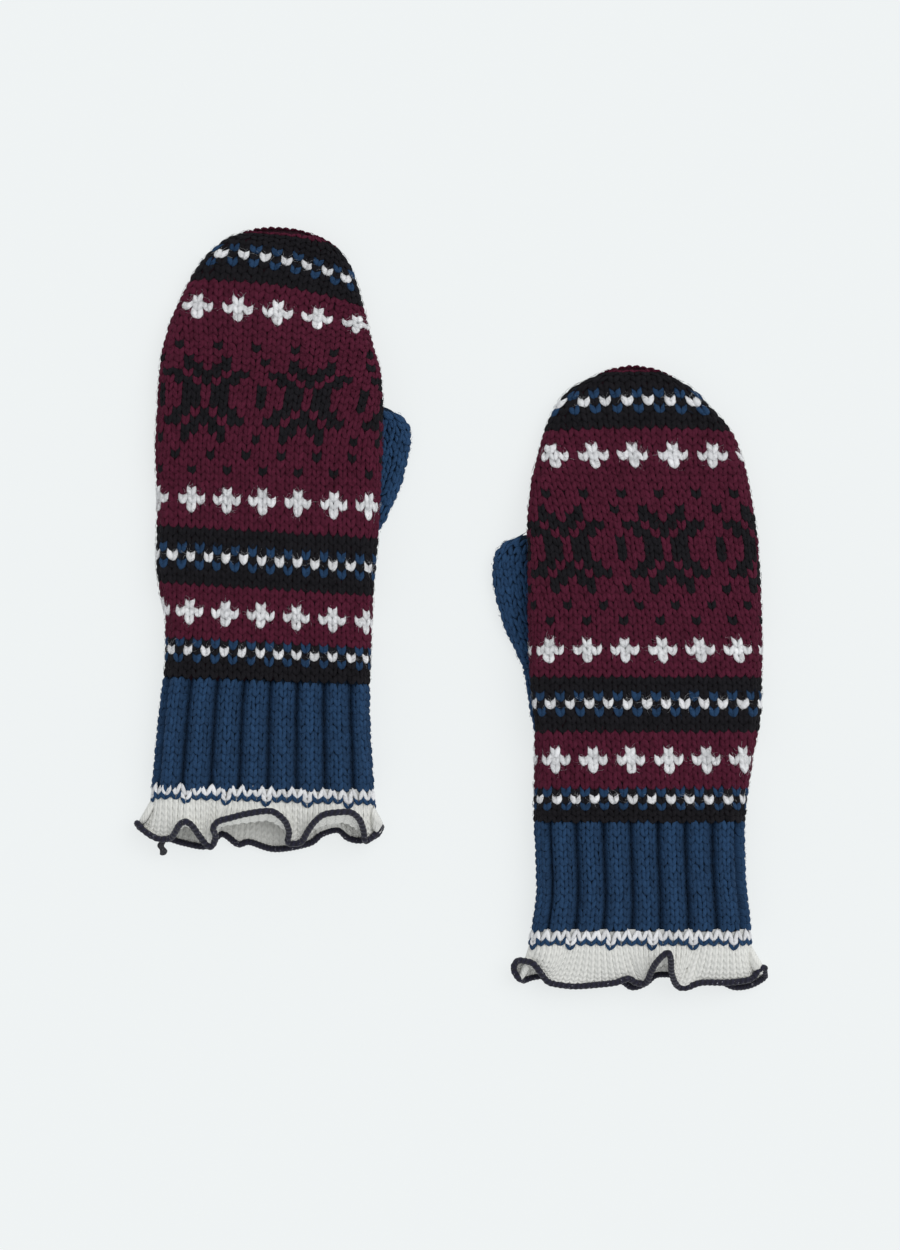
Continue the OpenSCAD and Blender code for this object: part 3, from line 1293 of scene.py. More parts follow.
@dataclass(frozen=True)
class FineKnitFinish:
    """Fine white knitting seen as narrow wales with small stitches across them, with painted shade in the
    grooves between the wales and between the loops.
    """

    name: str
    colour: tuple[float, float, float]
    wales: float
    courses: float

    def material(self) -> bpy.types.Material:
        """Writes the cloth's material.

        Returns:
            The material.
        """
        r = Recipe(self.name)
        around, along = r.yarn_place()
        across = r.math("FRACT", r.math("MULTIPLY", around, self.wales))
        slant = r.math("ABSOLUTE", r.math("SUBTRACT", across, 0.5))
        up = r.math("MULTIPLY_ADD", along, self.courses, r.math("MULTIPLY", slant, 1.4))
        loop = r.math("MULTIPLY_ADD", r.math("SINE", r.math("MULTIPLY", up, math.tau)), 0.5, 0.5)
        fleck = r.noise(2400.0, 4.0, 0.6)
        light = r.blend(fleck, rgba(self.colour, 0.9), rgba(self.colour, 1.06))
        # Painted shade: darker in the grooves between wales, and a little darker between the loops of each
        # course.
        groove = r.math("POWER", r.math("MULTIPLY", slant, 2.0), 6.0)
        shade = r.math("MULTIPLY_ADD", groove, 0.45, r.math("MULTIPLY", r.math("SUBTRACT", 1.0, loop), 0.12))
        r.wire(r.blend(shade, light, rgba(self.colour, 0.5)), r.shader, "Base Color")
        r.shader.inputs["Roughness"].default_value = 0.9
        r.shader.inputs["Specular IOR Level"].default_value = 0.2
        r.shader.inputs["Sheen Weight"].default_value = 0.2
        r.shader.inputs["Sheen Roughness"].default_value = 0.5
        height = r.math("MULTIPLY_ADD", loop, 0.9, r.math("MULTIPLY", fleck, 0.8))
        r.relief(height, distance=0.0003, strength=0.8)
        return r.material


@dataclass(frozen=True)
class EdgingFinish:
    """Near-black overlocked yarn wound slantwise round the frill's edge, with stray light fibres. Its turns
    are painted lighter on their crests and darker between them, as painted highlight and shade.
    """

    name: str
    colour: tuple[float, float, float]
    light: tuple[float, float, float]
    wraps: float

    def material(self) -> bpy.types.Material:
        """Writes the edging's material.

        Returns:
            The material.
        """
        r = Recipe(self.name)
        around, along = r.yarn_place()
        turn = r.math("MULTIPLY_ADD", around, self.wraps, along)
        strand = r.math("MULTIPLY_ADD", r.math("SINE", r.math("MULTIPLY", turn, math.tau)), 0.5, 0.5)
        fleck = r.noise(3200.0, 4.0, 0.6)
        # Painted shade between the turns of the yarn and painted highlight on their crests, following the
        # wave of the relief.
        base = r.blend(strand, rgba(self.colour, 0.55), rgba(self.colour, 1.35))
        stray = r.node("ShaderNodeMapRange", From_Min=0.64, From_Max=0.70)
        r.wire(r.noise(900.0, 3.0, 0.7), stray, "Value")
        final = r.blend(r.math("MULTIPLY", stray.outputs[0], fleck), base, rgba(self.light))
        r.wire(final, r.shader, "Base Color")
        r.shader.inputs["Roughness"].default_value = 0.75
        r.shader.inputs["Specular IOR Level"].default_value = 0.3
        r.shader.inputs["Sheen Weight"].default_value = 0.15
        r.relief(r.math("MULTIPLY_ADD", fleck, 0.6, strand), distance=0.00025, strength=0.9)
        return r.material


@dataclass(frozen=True)
class FloorFinish:
    """The studio floor: plain, pale and lit from within so that shadows on it stay faint."""

    name: str
    colour: tuple[float, float, float]
    glow: float

    def material(self) -> bpy.types.Material:
        """Writes the surface's material.

        Returns:
            The material.
        """
        r = Recipe(self.name)
        r.shader.inputs["Base Color"].default_value = rgba(self.colour, 1 - self.glow)
        r.shader.inputs["Emission Color"].default_value = rgba(self.colour)
        r.shader.inputs["Emission Strength"].default_value = self.glow
        r.shader.inputs["Roughness"].default_value = 0.95
        r.shader.inputs["Specular IOR Level"].default_value = 0.0
        return r.material


class Palette:
    """Every finish of the pair, made once."""

    burgundy = (0.080, 0.0085, 0.025)
    black = (0.0080, 0.0072, 0.0095)
    blue = (0.0165, 0.048, 0.110)
    white = (0.79, 0.79, 0.80)
    cream = (0.84, 0.835, 0.79)
    edge_navy = (0.0075, 0.007, 0.020)
    stray_white = (0.6, 0.6, 0.65)
    # Painted shade: the cloth under the stitches is coloured darker than its yarn, as the shade in the gaps
    # between stitches and in the grooves.
    painted_shade_burgundy = (0.022, 0.006, 0.011)
    painted_shade_blue = (0.006, 0.017, 0.036)
    painted_shade_white = (0.62, 0.62, 0.6)

    def __init__(self) -> None:
        """Makes the materials."""
        self.yarn = {
            Yarn.BURGUNDY: WoolFinish("burgundy_wool", self.burgundy).material(),
            Yarn.BLACK: WoolFinish("black_wool", self.black, mottle=0.14, sheen=0.12).material(),
            Yarn.BLUE: WoolFinish("blue_wool", self.blue).material(),
            Yarn.WHITE: WoolFinish("white_wool", self.white, mottle=0.05, sheen=0.1).material(),
        }
        self.frill = FineKnitFinish("cream_fine_knit", self.cream, FRILL_WALES, courses=9).material()
        self.edging = EdgingFinish("overlocked_edge", self.edge_navy, self.stray_white, EDGE_WRAPS).material()
        # The insides take the painted shade colours.
        self.hand_inside = WoolFinish("burgundy_inside_painted_shade", self.painted_shade_burgundy, sheen=0.05).material()
        self.blue_inside_painted_shade = WoolFinish("blue_inside_painted_shade", self.painted_shade_blue, sheen=0.05).material()
        self.white_inside_painted_shade = WoolFinish("white_inside_painted_shade", self.painted_shade_white, mottle=0.1, sheen=0.05).material()


# --- the colourwork ---


@dataclass(frozen=True)
class Chart:
    """The colourwork chart, row by row from the ribbing up, in repeats of four columns or of eleven."""

    flake: tuple[str, ...] = (
        "krrkrrrkrrr",
        "rrrkkrkkrrr",
        "rkkrkkkrkkr",
        "rrkkrkrkkrr",
        "krrkkrkkrrr",
    )

    def rows(self) -> list[str]:
        """Sets the chart out.

        Returns:
            All its rows. A row of eleven columns is part of the snowflake.
        """
        plain, dark = ["rrrr"], ["kkkk"]
        beads = ["kbkb", "wkwk", "kbkb"]
        star = ["wrrr", "wwrw", "wrrr"]
        half_flake = list(self.flake)
        flake = half_flake + [self.flake[4]] * 2 + half_flake[3::-1]
        return (
            dark * 2 + beads + plain * 2 + star + plain * 2
            + dark * 2 + beads + dark * 2 + plain * 2 + star + plain * 2
            + ["krrr"] + plain + ["rrkr"] + plain + flake + plain + ["rrkr"] + plain * 3
            + star + plain * 2 + dark * 2 + beads + dark * 3 + plain
        )

    def yarn(self, rows: Sequence[str], row: int, column: int, flake_column: int) -> Yarn:
        """The yarn of one stitch.

        Args:
            rows: the chart's rows.
            row: the stitch's row, from 1.
            column: its column.
            flake_column: the column at the middle of a snowflake.

        Returns:
            The yarn.
        """
        line = rows[row - 1]
        place = column % 4 if len(line) == 4 else (column - flake_column + 5) % 11
        return CHART_LETTERS[line[place]]


# --- the parts of one mitten ---


@dataclass
class Colourwork:
    """The hand of one mitten, knitted in four yarns over an inside coloured dark as painted shade in the gaps
    between stitches.

    The inside is sunk deeper across hem_span, to clear the cuff, and comes up to the skin over the last
    millimetres of the tip, close_over. wrist_span and wrist_z mark the wrist, but the knitting is not bent
    there.
    """

    shape: MittenShape
    palette: Palette
    leg: StitchLeg = StitchLeg()
    evenness: Hand = Hand()
    white_leg: StitchLeg = StitchLeg(half_width=1.3, half_depth=0.85, sunk=0.7)
    palm_leg: StitchLeg = StitchLeg(around=5, along=5)
    fuzz: Fuzz = Fuzz(per_stitch=6.0, reach=2.4, rise=0.4, half_width=0.045)
    white_fuzz: Fuzz = Fuzz(per_stitch=16.0, reach=2.8, rise=0.35, base=0.1, half_width=0.035)
    palm_fuzz: Fuzz = Fuzz(per_stitch=2.0, reach=2.4, rise=0.4, half_width=0.045)
    inside_depth: float = 1.2
    inside_wall: float = 1.0
    inside_cells: tuple[int, int] = (112, 90)
    hem_y: float = 1.8
    hem_depth: float = 3.0
    hem_span: Span = (2.0, 6.0)
    close_over: float = 4.0
    tip_gap: float = 0.05
    wrist_span: Span = (-4.0, 25.0)
    wrist_z: float = 8.0
    chart: Chart = Chart()

    def build(self) -> list[bpy.types.Object]:
        """Knits the back, the palm and the inside.

        Returns:
            The pieces.
        """
        side = self.shape.layout.side.value
        rows = self.chart.rows()
        pieces = []
        for palm in (False, True):
            bed = HandPanel(self.shape, palm)
            batches = {yarn: Stitches(bed) for yarn in Yarn}
            for row in range(1, len(rows) + 1):
                for column in range(-int(bed.last[-1][row]), int(bed.last[1][row]) + 1):
                    yarn = self.chart.yarn(rows, row, column, self.shape.layout.flake_column)
                    batches[yarn].add(column, row)
            for yarn, batch in batches.items():
                name = f"{side}_{'palm' if palm else 'back'}_{yarn.value}"
                seed = 11 * len(batch.rows) + (5 if palm else 3)
                leg, halo = self._yarn_form(palm, yarn)
                knit = Knitter(leg, self.evenness, seed).knit(name, batch, self.shape)
                fuzz = halo.grow(f"{name}_fuzz", batch, self.shape, seed + 1)
                for obj in (knit, fuzz):
                    obj.data.materials.append(self.palette.yarn[yarn])
                    pieces.append(obj)
        pieces.append(self._inside(f"{side}_hand_inside"))
        for obj in pieces:
            self.dress(obj)
        return pieces

    def _yarn_form(self, palm: bool, yarn: Yarn) -> tuple[StitchLeg, Fuzz]:
        """How a yarn lies on one panel.

        Args:
            palm: True for the palm, False for the back.
            yarn: the yarn.

        Returns:
            The form of its legs, and its loose fibres.
        """
        if palm:
            return self.palm_leg, self.palm_fuzz
        if yarn is Yarn.WHITE:
            return self.white_leg, self.white_fuzz
        return self.leg, self.fuzz

    def _inside(self, name: str) -> bpy.types.Object:
        """The inner face of the cloth, closed over the tip, coloured dark as painted shade in the gaps
        between stitches.

        Args:
            name: the new object's name.

        Returns:
            The new object.
        """
        shape = self.shape
        low, top = self.hem_y, shape.length - self.tip_gap

        def skin(around: np.ndarray, along: np.ndarray) -> np.ndarray:
            """A point of the cloth, sunk deeper at its hem and level with the skin at the tip.

            Args:
                around: fractions of the way round.
                along: fractions of the way along.

            Returns:
                The points.
            """
            y = low + (top - low) * np.sin(along * math.pi / 2) ** 0.9
            arc = (around - 0.5) * 4 * shape.quarter(np.minimum(y, shape.length - shape.tip_gap))
            sunk = self.inside_depth * (1 - ramp(y, (top - self.close_over, top)))
            sunk = sunk + self.hem_depth * (1 - ramp(y, self.hem_span))
            return shape.skin(arc, y) - outward(shape.skin, arc, y) * sunk[:, None]

        obj = WovenShell.wrap(name, *self.inside_cells, skin, shape, self.inside_wall)
        obj.data.materials.append(self.palette.hand_inside)
        return obj

    def dress(self, obj: bpy.types.Object) -> None:
        """Bakes a piece's place into its mesh and hides the hand part that it stands for.

        Args:
            obj: the piece.
        """
        side = self.shape.layout.side.value
        start, end = self.shape.place(np.array([[0.0, y, self.wrist_z] for y in self.wrist_span]))
        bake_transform(obj)
        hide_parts(f"{side}_hand")


@dataclass
class TipBed(StitchBed):
    """The rounded rim of the fingertips, from the back over the edge to the palm.

    Its section is half an oval, out by up, and pitch is the width of a stitch along it.
    """

    shape: MittenShape
    pitch: float
    out: float = 1.7
    inset: float = 0.8
    up: float = 3.6
    middle_z: float = 4.3
    below_tip: float = 14.0
    reach: float = 1.5
    drop: float = 0.1

    def __post_init__(self) -> None:
        """Follows the outline round the tip."""
        shape = self.shape
        low, high = shape.layout.seam
        share = np.linspace(0, 1, 160) ** 0.5
        y = shape.length - shape.tip_gap - (1 - share) * self.below_tip
        left = np.stack([shape.tip_x - np.sqrt(np.maximum(shape.low_x(y), 0)), y], axis=-1)
        right = np.stack([shape.tip_x + np.sqrt(np.maximum(shape.high_x(y), 0)), y], axis=-1)
        rim = np.concatenate([left, right[::-1]])
        self._rim = rim[(rim[:, 0] >= low) & (rim[:, 0] <= high)]
        self._far = distances(self._rim)
        self.count = int(self._far[-1] / self.pitch)

    def skin(self, arc: np.ndarray, run: np.ndarray) -> np.ndarray:
        """A point on the rim.

        Args:
            arc: distance along the rim.
            run: distance up from its middle.

        Returns:
            The points, with x, y and z last.
        """
        at = follow(arc, self._far, self._rim)
        behind = follow(arc - self.reach, self._far, self._rim)
        ahead = follow(arc + self.reach, self._far, self._rim) - behind
        ahead = ahead / np.maximum(np.linalg.norm(ahead, axis=-1, keepdims=True), 1e-6)
        turn = run / self.up
        away = self.out * (np.cos(turn) - 1) - self.inset
        x = at[..., 0] - away * ahead[..., 1]
        y = at[..., 1] + away * ahead[..., 0]
        return np.stack([x, y, self.middle_z + self.up * np.sin(turn)], axis=-1)

    def where(self, spot: Spot) -> tuple[np.ndarray, np.ndarray]:
        """The distance along the rim and up over it."""
        return (spot.place + 0.5) * self.pitch, (spot.row - self.drop) * ROW_HEIGHT


@dataclass
class CrownSeam:
    """The grafted stitches that close the tip of one mitten."""

    shape: MittenShape
    palette: Palette
    leg: StitchLeg = StitchLeg(half_width=1.2, half_depth=0.65, sunk=0.75)
    evenness: Hand = Hand(along=0.3)
    pitch: float = 3.3
    seed: int = 61

    def build(self) -> list[bpy.types.Object]:
        """Works the row of stitches along the rim.

        Returns:
            The pieces.
        """
        side = self.shape.layout.side.value
        bed = TipBed(self.shape, self.pitch)
        batch = Stitches(bed)
        for column in range(bed.count):
            batch.add(column, 0)
        seam = Knitter(self.leg, self.evenness, self.seed).knit(f"{side}_crown_stitches", batch, self.shape)
        seam.data.materials.append(self.palette.yarn[Yarn.BURGUNDY])
        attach(seam, f"{side}_hand_body")
        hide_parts(f"{side}_crown_seam")
        return [seam]


@dataclass
class RibbedCuff:
    """The blue ribbing of one mitten, whose inside reaches past the stitches by inside_over at each end. Its
    columns are painted lighter and darker by shades, as highlight on the ribs and shade in the grooves.
    """

    shape: MittenShape
    palette: Palette
    profile: RibProfile = RibProfile()
    leg: StitchLeg = StitchLeg(half_width=1.22, half_depth=0.85, along=5)
    evenness: Hand = Hand(sideways=0.1, along=0.2, out=0.14)
    fuzz: Fuzz = Fuzz(per_stitch=2.5, reach=1.4, rise=0.4)
    top: float = 0.6
    length: float = 44.3
    row_count: int = 14
    # Painted light on each rib: the middle column painted lighter as a highlight, the two beside it painted
    # darker, and the sunk column painted much darker as the shade in its groove.
    shades: tuple[float, ...] = (-1.5, 1.2, -1.5, -6.5)
    inside_over: Span = (2.5, 2.4)
    inside_depth: float = 1.3
    inside_wall: float = 0.8
    inside_cells: tuple[int, int] = (12, 30)
    seed: int = 71

    def build(self) -> list[bpy.types.Object]:
        """Knits the ribs and their inside.

        Returns:
            The pieces.
        """
        side = self.shape.layout.side.value
        along = StationCurve([(0.0, self.top - self.length), (self.row_count, self.top)])
        bed = RibBed(self.shape, self.profile, along)
        batch = Stitches(bed)
        for row in range(self.row_count + 1):
            for column in range(self.profile.ribs * self.profile.columns):
                # Each column carries its painted highlight and shade from shades.
                batch.add(column, row, self.shades[column % self.profile.columns])
        ribs = Knitter(self.leg, self.evenness, self.seed).knit(f"{side}_cuff_ribs", batch, self.shape)
        fuzz = self.fuzz.grow(f"{side}_cuff_fuzz", batch, self.shape, self.seed + 1)
        for obj in (ribs, fuzz):
            obj.data.materials.append(self.palette.yarn[Yarn.BLUE])
        inside = self._inside(f"{side}_cuff_inside", bed)
        for obj in (ribs, fuzz, inside):
            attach(obj, f"{side}_cuff_body")
            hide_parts(f"{side}_cuff")
        return [ribs, fuzz, inside]

    def _inside(self, name: str, bed: RibBed) -> bpy.types.Object:
        """The cloth under the stitches, which shows in the grooves, coloured dark as painted shade there.

        Args:
            name: the new object's name.
            bed: the ribs that it follows.

        Returns:
            The new object.
        """
        shape, profile = self.shape, self.profile
        low, high = self.top - self.length - self.inside_over[0], self.top + self.inside_over[1]

        def skin(around: np.ndarray, along: np.ndarray) -> np.ndarray:
            """A point of the cloth, which sinks in the grooves as the ribs do.

            Args:
                around: fractions of the way round.
                along: fractions of the way along.

            Returns:
                The points.
            """
            y = low + (high - low) * along
            girth = 4 * shape.quarter(y)
            arc = around * girth
            drop = profile.drop(arc - bed.start * girth, girth)
            return shape.skin(arc, y) - outward(shape.skin, arc, y) * (self.inside_depth + drop)[:, None]

        per_rib, along_it = self.inside_cells
        obj = WovenShell.wrap(name, profile.ribs * per_rib, along_it, skin, shape, self.inside_wall)
        obj.data.materials.append(self.palette.blue_inside_painted_shade)
        return obj


class HemBed(RingBed):
    """The band's rings, shifted and tilted as the layout says."""

    def where(self, spot: Spot) -> tuple[np.ndarray, np.ndarray]:
        """The distance round and along the tilted band.

        Args:
            spot: the places in stitches.

        Returns:
            The distances round and along.
        """
        arc, run = super().where(spot)
        shift, lean = self.shape.layout.band_tilt
        return arc, run + shift + lean * self.skin(arc, run)[..., 0]


@dataclass
class HemBand:
    """The two-colour band between the ribbing and the frill.

    Its inside reaches past the band by inside_over, below and above, and so it stops short of the frill.
    """

    shape: MittenShape
    palette: Palette
    leg: StitchLeg = StitchLeg(
        foot=(0.1, -2.4, 0.2), knee=(1.15, 1.0, 0.35), head=(2.05, 4.6, -0.3), half_width=0.95, fullness=0.6
    )
    evenness: Hand = Hand()
    top: float = -45.5
    length: float = 9.5
    columns: int = 48
    row_heights: tuple[float, ...] = (-46.6, -49.5, -51.4)
    inside_over: Span = (-2.8, 0.3)
    inside_depth: float = 1.5
    inside_wall: float = 0.8
    inside_cells: tuple[int, int] = (120, 8)
    seed: int = 31

    def build(self) -> list[bpy.types.Object]:
        """Knits the band in white and blue.

        Returns:
            The pieces.
        """
        side = self.shape.layout.side.value
        upper, middle, lower = self.row_heights
        along = StationCurve([(0.0, lower), (1.0, middle), (2.0, upper)])
        bed = HemBed(self.shape, [self.columns] * 4, along, self.shape.layout.block_column_x)
        batches = {Yarn.WHITE: Stitches(bed), Yarn.BLUE: Stitches(bed)}
        for column in range(self.columns):
            block = column % 4 == 0
            if block:
                batches[Yarn.BLUE].add(column, 0)
            batches[Yarn.WHITE if block else Yarn.BLUE].add(column, 1)
            batches[Yarn.WHITE].add(column, 2)
        pieces = []
        for yarn, batch in batches.items():
            knitter = Knitter(self.leg, self.evenness, self.seed)
            obj = knitter.knit(f"{side}_band_{yarn.value}", batch, self.shape)
            obj.data.materials.append(self.palette.yarn[yarn])
            pieces.append(obj)
        pieces.append(self._inside(f"{side}_band_inside"))
        for obj in pieces:
            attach(obj, f"{side}_cuff_body")
            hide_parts(f"{side}_hem_band")
        return pieces

    def _inside(self, name: str) -> bpy.types.Object:
        """The cloth under the band's stitches, coloured a duller white as painted shade in the gaps.

        Args:
            name: the new object's name.

        Returns:
            The new object.
        """
        shape = self.shape
        low, high = self.top - self.length - self.inside_over[0], self.top + self.inside_over[1]

        def skin(around: np.ndarray, along: np.ndarray) -> np.ndarray:
            """A point of the cloth.

            Args:
                around: fractions of the way round.
                along: fractions of the way along.

            Returns:
                The points.
            """
            y = low + (high - low) * along
            arc = around * 4 * shape.quarter(y)
            return shape.skin(arc, y) - outward(shape.skin, arc, y) * self.inside_depth

        obj = WovenShell.wrap(name, *self.inside_cells, skin, shape, self.inside_wall)
        obj.data.materials.append(self.palette.white_inside_painted_shade)
        return obj


@dataclass
class KnitThumb:
    """The plain blue thumb of one mitten, lying under the palm. root and free mark where it would bend, but
    it is not bent.
    """

    shape: MittenShape
    palette: Palette
    leg: StitchLeg = StitchLeg(half_width=1.15, half_depth=0.85, along=5)
    ring_leg: StitchLeg = StitchLeg(half_width=1.35, half_depth=1.0, sunk=0.35)
    fuzz: Fuzz = Fuzz(per_stitch=4.0)
    evenness: Hand = Hand(sideways=0.16, along=0.26, out=0.18, width=0.1, sway=0.16)
    row_pitch: float = 3.05
    column_pitch: float = 3.7
    # Painted light: the whole thumb's stitches are painted lighter, for the light that the thumb catches.
    shade: float = 3.0
    ring_columns: int = 26
    ring_runs: Span = (0.4, 3.4)
    inside_depth: float = 1.5
    inside_wall: float = 0.6
    inside_cells: tuple[int, int] = (64, 40)
    close_over: float = 3.0
    root: Point = (26.0, 36.0, 3.5)
    free: Point = (33.0, 70.0, 3.5)
    seed: int = 91

    def build(self) -> list[bpy.types.Object]:
        """Knits the thumb, its inside and the ring at its root.

        Returns:
            The pieces.
        """
        side = self.shape.layout.side.value
        thumb = ThumbShape(self.shape.layout)
        count = int(thumb.length / self.row_pitch)
        along = StationCurve([(0.0, 0.0), (float(count), thumb.length)])
        rows = np.arange(count + 1)
        girth = 4 * thumb.quarter(np.clip(along(rows + 0.5), 0, thumb.length - 0.5))
        counts = np.maximum(np.round(girth / self.column_pitch), 3).astype(int)
        bed = RingBed(thumb, list(counts) + [3], along, 0.0)
        batch = Stitches(bed)
        for row in range(count):
            for column in range(counts[row]):
                # Every stitch of the thumb is painted lighter by shade.
                batch.add(column, row, self.shade)
        yarn = Knitter(self.leg, self.evenness, self.seed).knit(f"{side}_thumb_knit", batch, self.shape)
        fuzz = self.fuzz.grow(f"{side}_thumb_fuzz", batch, self.shape, self.seed + 1)
        for obj in (yarn, fuzz):
            obj.data.materials.append(self.palette.yarn[Yarn.BLUE])
        inside = self._inside(f"{side}_thumb_inside", thumb)
        inward = np.array([self.shape.layout.thumb_sign, 1.0, 1.0])
        start, end = self.shape.place(np.array([self.root, self.free]) * inward)
        for obj in (yarn, fuzz, inside):
            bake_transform(obj)
            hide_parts(f"{side}_thumb")
        return [yarn, fuzz, inside, self._ring(f"{side}_thumb_ring", thumb)]

    def _ring(self, name: str, thumb: ThumbShape) -> bpy.types.Object:
        """The ring of picked-up stitches round the thumb's root.

        Args:
            name: the new object's name.
            thumb: the thumb's shape.

        Returns:
            The new object.
        """
        along = StationCurve(list(enumerate(self.ring_runs)))
        batch = Stitches(RingBed(thumb, [self.ring_columns] * 3, along, 0.0))
        for column in range(self.ring_columns):
            batch.add(column, 0)
        ring = Knitter(self.ring_leg, self.evenness, self.seed + 4).knit(name, batch, self.shape)
        ring.data.materials.append(self.palette.yarn[Yarn.BLUE])
        side = self.shape.layout.side.value
        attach(ring, f"{side}_hand_body")
        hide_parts(f"{side}_thumb_seam")
        return ring

    def _inside(self, name: str, thumb: ThumbShape) -> bpy.types.Object:
        """The cloth under the thumb's stitches, coloured dark as painted shade in the gaps.

        Args:
            name: the new object's name.
            thumb: the thumb's shape.

        Returns:
            The new object.
        """

        def skin(around: np.ndarray, along: np.ndarray) -> np.ndarray:
            """A point of the cloth, level with the skin at the tip.

            Args:
                around: fractions of the way round.
                along: fractions of the way along.

            Returns:
                The points.
            """
            run = thumb.length * np.sin(along * math.pi / 2)
            arc = around * 4 * thumb.quarter(run)
            sunk = self.inside_depth * smooth((thumb.length - run) / self.close_over)
            return thumb.skin(arc, run) - outward(thumb.skin, arc, run) * sunk[:, None]

        obj = WovenShell.wrap(name, *self.inside_cells, skin, self.shape, self.inside_wall)
        obj.data.materials.append(self.palette.blue_inside_painted_shade)
        return obj


def round_spline(points: Sequence[Point], steps: int) -> np.ndarray:
    """A smooth open run through given points.

    Args:
        points: the points it passes through.
        steps: steps between each two of them.

    Returns:
        The points of the run.
    """
    p = np.array([points[0], *points, points[-1]], float)
    p[0], p[-1] = 2 * p[1] - p[2], 2 * p[-2] - p[-3]
    t = np.linspace(0, 1, steps, endpoint=False)[:, None]
    runs = []
    for a, b, c, d in zip(p[:-3], p[1:-2], p[2:-1], p[3:]):
        square = 2 * a - 5 * b + 4 * c - d
        cube = 3 * b - a - 3 * c + d
        runs.append(0.5 * (2 * b + (c - a) * t + square * t**2 + cube * t**3))
    return np.concatenate([*runs, p[-2:-1]])


def cubic(
    start: np.ndarray, first: np.ndarray, second: np.ndarray, end: np.ndarray, t: np.ndarray
) -> np.ndarray:
    """A place on a curve with two handles, t going from 0 at its start to 1 at its end."""
    return (1 - t) ** 3 * start + 3 * t * (1 - t) ** 2 * first + 3 * t * t * (1 - t) * second + t**3 * end


